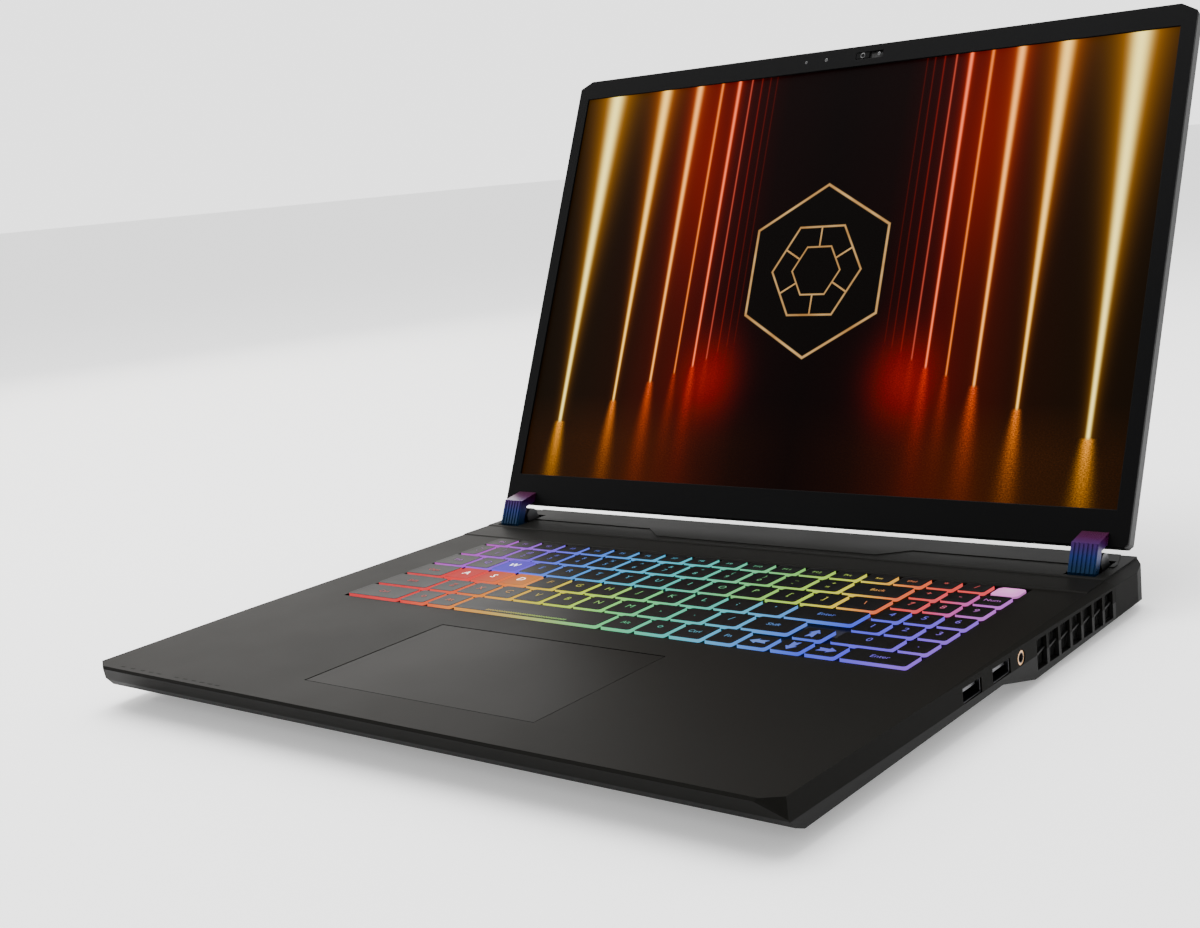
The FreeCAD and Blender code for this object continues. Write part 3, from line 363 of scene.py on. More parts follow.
def makeHingePaintAndShade():
    material, tree, shader = newMaterial("hingePaintAndShade")
    place = addNode(tree, "ShaderNodeGroup", (-900, 0), node_tree=lidPlace)
    span = hingePaintAndShade["high"] - hingePaintAndShade["low"]
    rise = minus(tree, place.outputs["Up"], hingePaintAndShade["low"])
    share = mathNode(tree, "DIVIDE", rise, span, clamp=True)
    paint = rampNode(tree, share, hingePaintAndShade["stops"])
    grain = addGrain(tree, shader, {"Grain Size": hingePaintAndShade["grain"], "Cloud Size": hingePaintAndShade["cloud"],
                                    "Roughness": hingePaintAndShade["roughness"], "Spread": hingePaintAndShade["spread"]})
    flake = mixColour(tree, hingePaintAndShade["flake"], paint, grain.outputs["Height"], "OVERLAY")
    tree.links.new(flake, shader.inputs["Base Color"])
    addBump(tree, shader, grain.outputs["Height"], hingePaintAndShade["bump"], hingePaintAndShade["depth"] * mm)
    shader.inputs["Metallic"].default_value = hingePaintAndShade["metallic"]
    shader.inputs["Specular IOR Level"].default_value = hingePaintAndShade["specular"]
    return material


hingePaintAndShadeMaterial = makeHingePaintAndShade()
for name in ("left_hinge_arm", "right_hinge_arm"):
    dress(nodes[name], hingePaintAndShadeMaterial)


# the picture on the display: pairs of light pillars over a wet floor, round a plain emblem
picture = {
    "middle": 1.7, "bottom": 23.7, "height": 229.0, "strength": 2.3, "blank": (0.0006, 0.0006, 0.0006),
    "specular": 0.015,
    # distance from the middle, foot height, half width at the top and at the foot, core and glow colours, gain
    "pillars": [
        (162.6, 32, 4.2, 0.9, (1.0, 0.78, 0.2), (0.62, 0.22, 0.008), 1.0),
        (125.0, 45, 2.9, 0.6, (1.0, 0.55, 0.1), (0.55, 0.12, 0.004), 0.95),
        (100.6, 56, 1.9, 0.6, (1.0, 0.38, 0.07), (0.45, 0.045, 0.002), 0.9),
        (84.6, 61, 0.8, 0.45, (0.8, 0.17, 0.02), (0.2, 0.012, 0.0), 0.7),
        (72.6, 65, 0.95, 0.5, (0.95, 0.14, 0.05), (0.3, 0.008, 0.0), 0.9),
        (64.0, 69, 0.45, 0.4, (0.4, 0.05, 0.03), (0.09, 0.002, 0.0), 0.6),
        (57.2, 73, 0.4, 0.35, (0.14, 0.006, 0.003), (0.035, 0.0, 0.0), 0.5),
        (51.6, 76, 0.35, 0.3, (0.085, 0.003, 0.001), (0.022, 0.0, 0.0), 0.45),
        (47.0, 78, 0.35, 0.3, (0.06, 0.002, 0.0), (0.018, 0.0, 0.0), 0.4),
    ],
    "widening": 1.6, "haloFall": -0.62, "haloLow": 0.3, "reflectionFall": -0.055, "reflectionWidth": 2.4,
    "reflectionSpread": 0.09, "glowShare": 0.75, "glitterShare": 1.5,
    # the air from the middle outwards: black, then red, then dim amber
    "airReach": 184.0,
    "air": [(0.0, (0.0012, 0.0, 0.0)), (0.2, (0.0022, 0.0, 0.0)), (0.32, (0.008, 0.0, 0.0)),
            (0.42, (0.018, 0.0005, 0.0)), (0.55, (0.02, 0.0014, 0.0)), (0.68, (0.007, 0.0014, 0.0)),
            (0.8, (0.005, 0.0015, 0.0)), (1.0, (0.0035, 0.0014, 0.0))],
    # soft patches of light: place and half width across, place and half width up, share, colour
    "redBand": (62.0, 17.0, 59.0, 20.0, 0.75, (0.17, 0.002, 0.0)),
    "redHaze": (88.0, 16.0, 190.0, 70.0, 0.35, (0.2, 0.004, 0.0)),
    "floorAt": (120.0, 75.0), "floorLevel": 48.0, "floorColour": (0.035, 0.009, 0.001),
    "emblemAt": (0.0, 117.0), "emblemHeight": 96.0, "gold": (0.26, 0.12, 0.03), "paleGold": (0.42, 0.26, 0.1),
    "emblemBack": (0.0008, 0.0004, 0.0002),
}
emblemLook = {
    "outline": 0.85, "outlineWidth": 0.014, "inner": 0.5, "innerWidth": 0.011, "core": 0.27, "coreWidth": 0.009,
    "spokeWidth": 0.028, "cosine": 0.5, "sine": 0.866,  # cosine and sine of 60 degrees
}


def hump(tree, value, centre, width):
    # a soft bell round one place
    gap = mathNode(tree, "DIVIDE", minus(tree, value, centre), width)
    return mathNode(tree, "EXPONENT", times(tree, mathNode(tree, "POWER", gap, 2.0), -1.0))


def makePillarGroup():
    tree, start, end = newGroup("lightPillar", [
        ("Side", "NodeSocketFloat", 0.0), ("Up", "NodeSocketFloat", 0.0), ("Sparkle", "NodeSocketFloat", 0.5),
        ("Place", "NodeSocketFloat", 100.0), ("Foot", "NodeSocketFloat", 50.0),
        ("Top Width", "NodeSocketFloat", 3.0), ("Foot Width", "NodeSocketFloat", 1.0),
        ("Core", "NodeSocketColor", (1, 1, 1, 1)), ("Glow", "NodeSocketColor", (1, 0.5, 0, 1)),
        ("Gain", "NodeSocketFloat", 1.0)], [("Color", "NodeSocketColor")])
    side, up = start.outputs["Side"], start.outputs["Up"]
    foot = start.outputs["Foot"]
    away = mathNode(tree, "ABSOLUTE", minus(tree, side, start.outputs["Place"]))
    height = minus(tree, up, foot)
    share = mathNode(tree, "DIVIDE", height, minus(tree, picture["height"], foot), clamp=True)
    widen = mathNode(tree, "POWER", share, picture["widening"])
    extra = minus(tree, start.outputs["Top Width"], start.outputs["Foot Width"])
    width = plus(tree, start.outputs["Foot Width"], times(tree, widen, extra))
    ratio = mathNode(tree, "DIVIDE", away, width)
    core = hump(tree, away, 0.0, width)
    halo = mathNode(tree, "EXPONENT", times(tree, ratio, picture["haloFall"]))
    haloRise = times(tree, share, 1.0 - picture["haloLow"])
    halo = times(tree, halo, plus(tree, picture["haloLow"], haloRise))
    above = times(tree, plus(tree, height, 0.8), 0.6, clamp=True)
    # under its foot each pillar breaks up into a glittering reflection
    under = mathNode(tree, "MAXIMUM", times(tree, height, -1.0), 0.0)
    fade = mathNode(tree, "EXPONENT", times(tree, under, picture["reflectionFall"]))
    spread = plus(tree, times(tree, start.outputs["Foot Width"], picture["reflectionWidth"]),
                  times(tree, under, picture["reflectionSpread"]))
    blur = hump(tree, away, 0.0, spread)
    glitter = times(tree, times(tree, blur, fade), start.outputs["Sparkle"])
    below = times(tree, minus(tree, 0.6, height), 0.8, clamp=True)
    gain = start.outputs["Gain"]
    coreLight = times(tree, times(tree, core, above), gain)
    haloLight = times(tree, times(tree, halo, above), picture["glowShare"])
    floorLight = times(tree, times(tree, glitter, below), picture["glitterShare"])
    glowLight = times(tree, plus(tree, haloLight, floorLight), gain)
    coreColour = mixColour(tree, coreLight, (0.0, 0.0, 0.0), start.outputs["Core"])
    glowColour = mixColour(tree, glowLight, (0.0, 0.0, 0.0), start.outputs["Glow"])
    tree.links.new(mixColour(tree, 1.0, coreColour, glowColour, "SCREEN"), end.inputs["Color"])
    return tree


def makeEmblemGroup():
    # a plain cut-stone sign: a six-sided ring, a smaller one inside and the facets between them
    tree, start, end = newGroup("gemEmblem", [
        ("Side", "NodeSocketFloat", 0.0), ("Up", "NodeSocketFloat", 0.0), ("Height", "NodeSocketFloat", 96.0)],
        [("Outline", "NodeSocketFloat"), ("Facets", "NodeSocketFloat"), ("Inside", "NodeSocketFloat")])
    half = times(tree, start.outputs["Height"], 0.5)
    side = mathNode(tree, "ABSOLUTE", mathNode(tree, "DIVIDE", start.outputs["Side"], half))
    rise = mathNode(tree, "ABSOLUTE", mathNode(tree, "DIVIDE", start.outputs["Up"], half))
    cosine, sine = emblemLook["cosine"], emblemLook["sine"]
    slope = plus(tree, times(tree, side, cosine), times(tree, rise, sine))
    hexagon = mathNode(tree, "MAXIMUM", side, slope)

    def ring(value, centre, width):
        gap = mathNode(tree, "DIVIDE", mathNode(tree, "ABSOLUTE", minus(tree, value, centre)), width)
        return mathNode(tree, "EXPONENT", times(tree, mathNode(tree, "POWER", gap, 4.0), -1.0))
    outline = ring(hexagon, emblemLook["outline"], emblemLook["outlineWidth"])
    # the inner stone is turned by half a side
    turned = mathNode(tree, "MAXIMUM", rise, plus(tree, times(tree, rise, cosine), times(tree, side, sine)))
    inner = ring(turned, emblemLook["inner"], emblemLook["innerWidth"])
    core = ring(turned, emblemLook["core"], emblemLook["coreWidth"])
    bearing = mathNode(tree, "ARCTAN2", side, rise)
    spokes = mathNode(tree, "ABSOLUTE", mathNode(tree, "SINE", times(tree, bearing, 3.0)))
    spoke = mathNode(tree, "LESS_THAN", times(tree, spokes, turned), emblemLook["spokeWidth"])
    between = times(tree, mathNode(tree, "GREATER_THAN", turned, emblemLook["core"]),
                    mathNode(tree, "LESS_THAN", turned, emblemLook["inner"]))
    facets = plus(tree, plus(tree, inner, core), times(tree, spoke, between), clamp=True)
    tree.links.new(outline, end.inputs["Outline"])
    tree.links.new(facets, end.inputs["Facets"])
    tree.links.new(mathNode(tree, "LESS_THAN", hexagon, emblemLook["outline"]), end.inputs["Inside"])
    return tree


def makeDisplay():
    material, tree, shader = newMaterial("displayPicture")
    place = addNode(tree, "ShaderNodeGroup", (-2600, 0), node_tree=lidPlace)
    across = place.outputs["Across"]
    up = minus(tree, place.outputs["Up"], picture["bottom"])
    side = mathNode(tree, "ABSOLUTE", minus(tree, across, picture["middle"]))
    # floor glitter: streaks stretched along the floor
    flat = addNode(tree, "ShaderNodeCombineXYZ", (-2300, -500))
    tree.links.new(across, flat.inputs[0])
    tree.links.new(times(tree, up, 1.5), flat.inputs[1])
    glitter = setInputs(addNode(tree, "ShaderNodeTexNoise", (-2100, -500)),
                        {"Scale": 1.1, "Detail": 6.0, "Roughness": 0.85})
    tree.links.new(flat.outputs[0], glitter.inputs["Vector"])
    sparkle = mathNode(tree, "POWER", times(tree, glitter.outputs["Fac"], 1.75), 4.0)
    total = rampNode(tree, mathNode(tree, "DIVIDE", side, picture["airReach"]), picture["air"])
    spot, width, level, tall, share, colour = picture["redBand"]
    redBand = times(tree, hump(tree, side, spot, width), hump(tree, up, level, tall))
    redBand = times(tree, redBand, plus(tree, 0.45, times(tree, sparkle, 0.6)))
    total = mixColour(tree, times(tree, redBand, share), total, colour)
    spot, width, level, tall, share, colour = picture["redHaze"]
    redHaze = times(tree, hump(tree, side, spot, width), hump(tree, up, level, tall))
    total = mixColour(tree, times(tree, redHaze, share), total, colour)
    depth = times(tree, minus(tree, picture["floorLevel"], up), 0.04, clamp=True)
    wetFloor = times(tree, hump(tree, side, *picture["floorAt"]), depth)
    wetFloor = times(tree, wetFloor, times(tree, sparkle, 0.5), clamp=True)
    total = mixColour(tree, wetFloor, total, picture["floorColour"])
    for spot, foot, top, low, core, glow, gain in picture["pillars"]:
        pillar = addNode(tree, "ShaderNodeGroup", (-1200, 0), node_tree=lightPillar)
        tree.links.new(side, pillar.inputs["Side"])
        tree.links.new(up, pillar.inputs["Up"])
        tree.links.new(sparkle, pillar.inputs["Sparkle"])
        setInputs(pillar, {"Place": spot, "Foot": foot, "Top Width": top, "Foot Width": low,
                           "Core": (*core, 1), "Glow": (*glow, 1), "Gain": gain})
        total = mixColour(tree, 1.0, total, pillar.outputs["Color"], "SCREEN")
    emblem = addNode(tree, "ShaderNodeGroup", (-900, -600), node_tree=makeEmblemGroup())
    emblem.inputs["Height"].default_value = picture["emblemHeight"]
    tree.links.new(minus(tree, across, picture["emblemAt"][0]), emblem.inputs["Side"])
    tree.links.new(minus(tree, up, picture["emblemAt"][1]), emblem.inputs["Up"])
    sheen = setInputs(addNode(tree, "ShaderNodeTexNoise", (-1200, -900)), {"Scale": 0.06, "Detail": 3.0})
    tree.links.new(flat.outputs[0], sheen.inputs["Vector"])
    polish = times(tree, minus(tree, sheen.outputs["Fac"], 0.3), 2.2, clamp=True)
    gold = mixColour(tree, polish, picture["gold"], picture["paleGold"])
    behind = times(tree, emblem.outputs["Inside"], 0.9)
    total = mixColour(tree, behind, total, picture["emblemBack"])
    facets = times(tree, emblem.outputs["Facets"], 0.9)
    lines = mathNode(tree, "MAXIMUM", emblem.outputs["Outline"], facets)
    total = mixColour(tree, lines, total, gold)
    tree.links.new(total, shader.inputs["Emission Color"])
    shader.inputs["Emission Strength"].default_value = picture["strength"]
    shader.inputs["Base Color"].default_value = (*picture["blank"], 1)
    addGrain(tree, shader, {"Grain Size": 5000.0, "Roughness": 0.5, "Spread": 0.08})
    shader.inputs["Specular IOR Level"].default_value = picture["specular"]
    return material


lightPillar = makePillarGroup()
dress(nodes["display_panel"], makeDisplay())
print("display picture made")


# key caps, each one built on the box that its solid fills
capShape = {"corner": 1.5, "edge": 0.35, "dish": 0.1, "cornerSteps": 4, "legendRise": 0.015}
keyGlow = {"rim": 1.05, "legend": 0.7, "lit": 0.62, "whiteLegend": 1.6, "ior": 1.12, "specular": 0.04}

# the colour of the light under the keys, by millimetres across
upperLight = [
    (-156, (0.62, 0.05, 0.62)), (-128, (0.42, 0.07, 0.85)), (-100, (0.12, 0.1, 1.0)),
    (-68, (0.05, 0.28, 1.0)), (-30, (0.04, 0.55, 0.8)), (8, (0.06, 0.65, 0.42)), (44, (0.2, 0.7, 0.14)),
    (72, (0.55, 0.85, 0.04)), (90, (1.0, 0.75, 0.03)), (104, (1.0, 0.25, 0.02)), (122, (1.0, 0.06, 0.03)),
    (160, (1.0, 0.04, 0.08))
]
lowerLight = [
    (-156, (0.8, 0.015, 0.03)), (-118, (0.95, 0.03, 0.03)), (-92, (1.0, 0.16, 0.02)),
    (-66, (1.0, 0.55, 0.03)), (-34, (0.65, 0.9, 0.03)), (-2, (0.15, 0.8, 0.2)), (34, (0.06, 0.65, 0.42)),
    (62, (0.08, 0.5, 0.8)), (88, (0.07, 0.25, 0.9)), (112, (0.05, 0.1, 1.0)), (140, (0.1, 0.07, 1.0)),
    (160, (0.2, 0.08, 0.9))
]
padUpperLight = [
    (117, (1.0, 0.07, 0.03)), (136, (0.95, 0.05, 0.1)), (150, (0.6, 0.1, 0.6)), (162, (0.6, 0.12, 0.8))
]
padLowerLight = [
    (117, (0.07, 0.09, 1.0)), (138, (0.12, 0.08, 1.0)), (162, (0.3, 0.1, 0.9))
]
litLight = [
    (-156, (1.0, 0.02, 0.02)), (-112, (1.0, 0.03, 0.03)), (-92, (1.0, 0.16, 0.02)), (-80, (1.0, 0.3, 0.03))
]
litUpperLight = [
    (-130, (0.1, 0.05, 1.0)), (-80, (0.2, 0.08, 1.0))
]


def lightAt(stops, x):
    x = x / mm
    if x <= stops[0][0]:
        return stops[0][1]
    for (left, first), (right, second) in zip(stops, stops[1:]):
        if x <= right:
            share = (x - left) / (right - left)
            return tuple(a + (b - a) * share for a, b in zip(first, second))
    return stops[-1][1]


def solidBoxes(node):
    # the separate solids in a piece, as boxes sorted from front to rear and left to right
    keyOf = {}
    parent = []

    def root(index):
        while parent[index] != index:
            index = parent[index]
        return index
    places = []
    lookup = []
    for vertex in node.data.vertices:
        spot = tuple(round(value * 1e6) for value in vertex.co)
        if spot not in keyOf:
            keyOf[spot] = len(parent)
            parent.append(len(parent))
            places.append(vertex.co.copy())
        lookup.append(keyOf[spot])
    for polygon in node.data.polygons:
        first = root(lookup[polygon.vertices[0]])
        for corner in polygon.vertices[1:]:
            parent[root(lookup[corner])] = first
    clusters = {}
    for index, place in enumerate(places):
        clusters.setdefault(root(index), []).append(place)
    boxes = []
    for cluster in clusters.values():
        low = Vector([min(place[axis] for place in cluster) for axis in range(3)])
        high = Vector([max(place[axis] for place in cluster) for axis in range(3)])
        boxes.append((low, high))
    return sorted(boxes, key=lambda box: (round(box[0].y, 4), box[0].x))


def roundedRing(low, high, inset, radius, height):
    x0, x1 = low.x + inset, high.x - inset
    y0, y1 = low.y + inset, high.y - inset
    radius = max(radius - inset * 0.5, 0.0003)
    steps = capShape["cornerSteps"]
    ring = []
    for cx, cy, turn in ((x1 - radius, y0 + radius, -90), (x1 - radius, y1 - radius, 0),
                         (x0 + radius, y1 - radius, 90), (x0 + radius, y0 + radius, 180)):
        for step in range(steps + 1):
            angle = math.radians(turn + 90 * step / steps)
            ring.append(Vector((cx + radius * math.cos(angle), cy + radius * math.sin(angle), height)))
    return ring


class CapMesh:
    # collects the faces of one piece: slot 0 the rim that glows, 1 the top, 2 the marks
    def __init__(self):
        self.points = []
        self.faces = []
        self.slots = []
        self.lights = []

    def addPoint(self, place, light):
        self.points.append(place)
        self.lights.append(light)
        return len(self.points) - 1

    def addCap(self, low, high, stops, topSlot=1):
        edge = capShape["edge"] * mm
        dish = capShape["dish"] * mm
        corner = capShape["corner"] * mm
        rings = [(0.0, low.z), (0.05 * mm, high.z - edge * 1.3),
                 (edge * 0.45, high.z - edge * 0.35), (edge, high.z),
                 (edge + 0.5 * mm, high.z - dish * 0.3), (edge + 3.0 * mm, high.z - dish)]
        rows = []
        for inset, height in rings:
            inset = min(inset, (high.x - low.x) * 0.45, (high.y - low.y) * 0.45)
            rows.append([self.addPoint(place, lightAt(stops, place.x))
                         for place in roundedRing(low, high, inset, corner, height)])
        count = len(rows[0])
        for level in range(len(rows) - 1):
            for step in range(count):
                following = (step + 1) % count
                self.faces.append((rows[level][step], rows[level][following],
                                   rows[level + 1][following], rows[level + 1][step]))
                self.slots.append(0 if level < 2 else topSlot)
        self.faces.append(tuple(rows[-1]))
        self.slots.append(topSlot)
        self.faces.append(tuple(reversed(rows[0])))
        self.slots.append(0)

    def addFlat(self, outline, height, stops, slot=2):
        ids = [self.addPoint(Vector((x, y, height)), lightAt(stops, x)) for x, y in outline]
        self.faces.append(tuple(ids))
        self.slots.append(slot)

    def addMesh(self, points, faces, stops, slot=2):
        ids = [self.addPoint(place, lightAt(stops, place.x)) for place in points]
        for face in faces:
            self.faces.append(tuple(ids[corner] for corner in face))
            self.slots.append(slot)

    def build(self, name, slotMaterials):
        mesh = bpy.data.meshes.new(name)
        mesh.from_pydata([tuple(point) for point in self.points], [], self.faces)
        for material in slotMaterials:
            mesh.materials.append(material)
        for polygon, slot in zip(mesh.polygons, self.slots):
            polygon.material_index = slot
            polygon.use_smooth = slot == 1
        layer = mesh.color_attributes.new("keyLight", "FLOAT_COLOR", "POINT")
        for index, light in enumerate(self.lights):
            layer.data[index].color = (*light, 1)
        mesh.update()
        piece = bpy.data.objects.new(name, mesh)
        bpy.context.scene.collection.objects.link(piece)
        return piece


def makeKeyLight(name, strength, wash, base):
    # plastic that lets the light under the keys through, a little uneven along its length
    material, tree, shader = newMaterial(name)
    shader.inputs["IOR"].default_value = keyGlow["ior"]
    light = addNode(tree, "ShaderNodeAttribute", (-900, 200), attribute_name="keyLight")
    coords = addNode(tree, "ShaderNodeTexCoord", (-1100, -200))
    uneven = setInputs(addNode(tree, "ShaderNodeTexNoise", (-900, -200)), {"Scale": 160.0, "Detail": 2.0})
    tree.links.new(coords.outputs["Object"], uneven.inputs["Vector"])
    lift = plus(tree, wash, times(tree, uneven.outputs["Fac"], 0.06))
    washed = mixColour(tree, lift, light.outputs["Color"], (1.0, 1.0, 1.0))
    tree.links.new(washed, shader.inputs["Emission Color"])
    shader.inputs["Emission Strength"].default_value = strength
    tree.links.new(mixColour(tree, 0.95, light.outputs["Color"], base), shader.inputs["Base Color"])
    shader.inputs["Specular IOR Level"].default_value = keyGlow["specular"]
    addGrain(tree, shader, {"Roughness": 0.4})
    return material


rimLight = makeKeyLight("keyRimLight", keyGlow["rim"], 0.0, (0.02, 0.02, 0.02))
legendLight = makeKeyLight("keyLegendLight", keyGlow["legend"], 0.05, (0.02, 0.02, 0.02))
litTopLight = makeKeyLight("litKeyLight", keyGlow["lit"], 0.0, (0.002, 0.002, 0.002))
whiteLegend = makeKeyLight("whiteLegendLight", keyGlow["whiteLegend"], 0.75, (0.6, 0.6, 0.6))

glyphs = {}


def glyphShape(text):
    # the outline of a mark, 1 high and centred on its own middle
    if text not in glyphs:
        curve = bpy.data.curves.new("mark", "FONT")
        curve.body = text
        curve.resolution_u = 2
        curve.align_x = "CENTER"
        curve.align_y = "CENTER"
        holder = bpy.data.objects.new("mark", curve)
        shape = bpy.data.meshes.new_from_object(holder)
        glyphs[text] = ([vertex.co.copy() for vertex in shape.vertices],
                        [tuple(polygon.vertices) for polygon in shape.polygons])
        bpy.data.objects.remove(holder)
    return glyphs[text]


def writeMark(cap, text, centreX, centreY, height, size, stops, slot=2):
    points, faces = glyphShape(text)
    size *= mm
    placed = [Vector((centreX + point.x * size, centreY + point.y * size, height)) for point in points]
    cap.addMesh(placed, faces, stops, slot)


def arrowOutline(centreX, centreY, size, turn):
    # a broad arrow with a notched tail
    shape = [(1.0, 0.0), (0.15, 0.62), (0.15, 0.3), (-0.95, 0.42),
             (-0.7, 0.0), (-0.95, -0.42), (0.15, -0.3), (0.15, -0.62)]
    cosine, sine = math.cos(math.radians(turn)), math.sin(math.radians(turn))
    return [(centreX + (x * cosine - y * sine) * size * mm, centreY + (x * sine + y * cosine) * size * mm)
            for x, y in shape]


keyRows = {
    "function_keys": ["Esc"] + [f"F{number}" for number in range(1, 13)] + ["Prt", "Ins", "Del", "*", "/"],
    "number_row_keys": list("`1234567890-="),
    "upper_row_keys": list("QERTYUIOP[]\\"),
    "home_row_keys": list("FGHJKL;'"),
    "lower_row_keys": list("ZXCVBNM,./"),
    "bottom_row_keys": ["Ctrl", "o", "Alt", "Alt", "o", "Ctrl", "Fn"],
    "number_pad_keys": ["0", ".", "1", "2", "3", "4", "5", "6", "7", "8", "9", "+", "-", "Num"],
    "lit_keys": ["A", "S", "D", "W"],
    "tab_key": ["Tab"], "caps_key": ["Caps"], "left_shift_key": ["Shift"], "right_shift_key": ["Shift"],
    "enter_key": ["Enter"], "backspace_key": ["Back"], "pad_enter_key": ["Enter"],
    "space_key": [""], "arrow_keys": ["", "", "", ""],
}
shifted = dict(zip("`1234567890-=", "~!@#$%^&*()_+"))
lowerRows = ("home_row_keys", "lower_row_keys", "bottom_row_keys", "caps_key", "left_shift_key",
             "right_shift_key", "enter_key", "space_key", "arrow_keys")

# how large each kind of mark is and how far behind the middle of its key it stands
legendLook = {
    "lit": (6.2, 0.6), "number": (4.6, -2.6), "shifted": (4.2, 3.0), "letter": (5.6, 0.8), "word": (4.0, 0.0),
    "function": (3.4, 0.0), "arrow": 4.6, "arrowTurns": (180, -90, 0, 90), "padLowerKeys": 8,
}
spaceMarks = {"count": 34, "start": 20.0, "pitch": 1.45, "width": 0.75, "lean": 0.7, "height": 1.5,
              "front": 1.5}
capSlots = {"rim": 0, "top": 1, "legend": 2, "litTop": 3, "whiteLegend": 4}


def stopsFor(nodeName, label, index):
    # the lights under one key
    if nodeName == "lit_keys":
        return litUpperLight if label == "W" else litLight
    if nodeName == "pad_enter_key":
        return padLowerLight
    if nodeName == "number_pad_keys":
        return padLowerLight if index < legendLook["padLowerKeys"] else padUpperLight
    return lowerLight if nodeName in lowerRows else upperLight


def addSpaceMarks(cap, low, level, stops):
    # a row of small leaning strokes along the front of the space bar
    width, lean, tall = spaceMarks["width"] * mm, spaceMarks["lean"] * mm, spaceMarks["height"] * mm
    y = low.y + spaceMarks["front"] * mm
    for step in range(spaceMarks["count"]):
        x = low.x + spaceMarks["start"] * mm + step * spaceMarks["pitch"] * mm
        cap.addFlat([(x, y), (x + width, y), (x + width + lean, y + tall), (x + lean, y + tall)], level, stops)


def addLegend(cap, nodeName, label, index, low, high, stops):
    middle = (low + high) / 2
    level = high.z + capShape["legendRise"] * mm

    def write(kind, text, slot=capSlots["legend"]):
        size, back = legendLook[kind]
        writeMark(cap, text, middle.x, middle.y + back * mm, level, size, stops, slot)
    if nodeName == "lit_keys":
        write("lit", label, capSlots["whiteLegend"])
    elif nodeName == "number_row_keys":
        write("number", label)
        write("shifted", shifted[label])
    elif nodeName == "arrow_keys":
        turn = legendLook["arrowTurns"][index]
        cap.addFlat(arrowOutline(middle.x, middle.y, legendLook["arrow"], turn), level, stops)
    elif nodeName == "space_key":
        addSpaceMarks(cap, low, level, stops)
    elif len(label) == 1:
        write("letter", label)
    elif label:
        write("function" if nodeName == "function_keys" else "word", label)


capMaterials = [rimLight, materials["keyTop"], legendLight, litTopLight, whiteLegend]
for nodeName, labels in keyRows.items():
    cap = CapMesh()
    topSlot = capSlots["litTop" if nodeName == "lit_keys" else "top"]
    for index, (low, high) in enumerate(solidBoxes(nodes[nodeName])):
        label = labels[index] if index < len(labels) else ""
        stops = stopsFor(nodeName, label, index)
        cap.addCap(low, high, stops, topSlot)
        addLegend(cap, nodeName, label, index, low, high, stops)
    piece = cap.build(nodeName + "_caps", capMaterials)
    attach(piece, nodeName)
    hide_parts(nodeName)
print("key caps made:", len(keyRows), "pieces")


# power key: a clouded pink stone with cut faces
stoneLook = {
    "pink": [(140, (1.0, 0.12, 0.55)), (165, (0.85, 0.2, 0.9))], "corner": 2.6, "shoulder": (0.1, 0.7),
    "table": (1.6, 0.15), "peak": (1.2, 0.8), "peakLight": (1.0, 0.55, 0.85), "strength": 0.55, "wash": 0.06,
    "base": (0.3, 0.1, 0.25),
}


def makePowerKey():
    low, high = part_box("power_key")
    middle = (low + high) / 2
    cap = CapMesh()
    rows = []
    levels = [(0.0, low.z)]
    for inset, drop in (stoneLook["shoulder"], stoneLook["table"]):
        levels.append((inset * mm, high.z - drop * mm))
    for inset, height in levels:
        rows.append([cap.addPoint(place, lightAt(stoneLook["pink"], place.x))
                     for place in roundedRing(low, high, inset, stoneLook["corner"] * mm, height)])
    right, back = stoneLook["peak"]
    peak = cap.addPoint(Vector((middle.x + right * mm, middle.y + back * mm, high.z)), stoneLook["peakLight"])
    count = len(rows[0])
    for lower, upper in zip(rows, rows[1:]):
        for step in range(count):
            following = (step + 1) % count
            cap.faces.append((lower[step], lower[following], upper[following], upper[step]))
            cap.slots.append(0)
    for step in range(count):
        cap.faces.append((rows[-1][step], rows[-1][(step + 1) % count], peak))
        cap.slots.append(0)
    cap.faces.append(tuple(reversed(rows[0])))
    cap.slots.append(0)
    stone = makeKeyLight("powerStone", stoneLook["strength"], stoneLook["wash"], stoneLook["base"])
    piece = cap.build("power_key_stone", [stone])
    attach(piece, "power_key")
    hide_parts("power_key")


makePowerKey()
print("power key made")


# dust mesh and slanted louvres behind the side vents
ventLook = {"first": -18.0, "pitch": 10.4, "count": 7, "opening": 8.2, "low": 5.9, "high": 17.9,
            "inside": 2.2, "meshPitch": 1.25, "wire": 0.32, "frontWall": 190.06, "drawIn": 0.0303,
            "clear": 0.05, "louvreRise": 0.9, "louvreWidth": 0.8, "louvreDepth": (1.0, 2.2), "wireDepth": 0.3}


def boxFaces(start):
    return [tuple(start + corner for corner in face) for face in
            ((0, 3, 2, 1), (4, 5, 6, 7), (0, 1, 5, 4), (1, 2, 6, 5), (2, 3, 7, 6), (3, 0, 4, 7))]


def makePiece(name, points, faces, material, node):
    mesh = bpy.data.meshes.new(name)
    mesh.from_pydata([tuple(point) for point in points], [], faces)
    mesh.materials.append(material)
    mesh.update()
    piece = bpy.data.objects.new(name, mesh)
    bpy.context.scene.collection.objects.link(piece)
    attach(piece, node)
    return piece


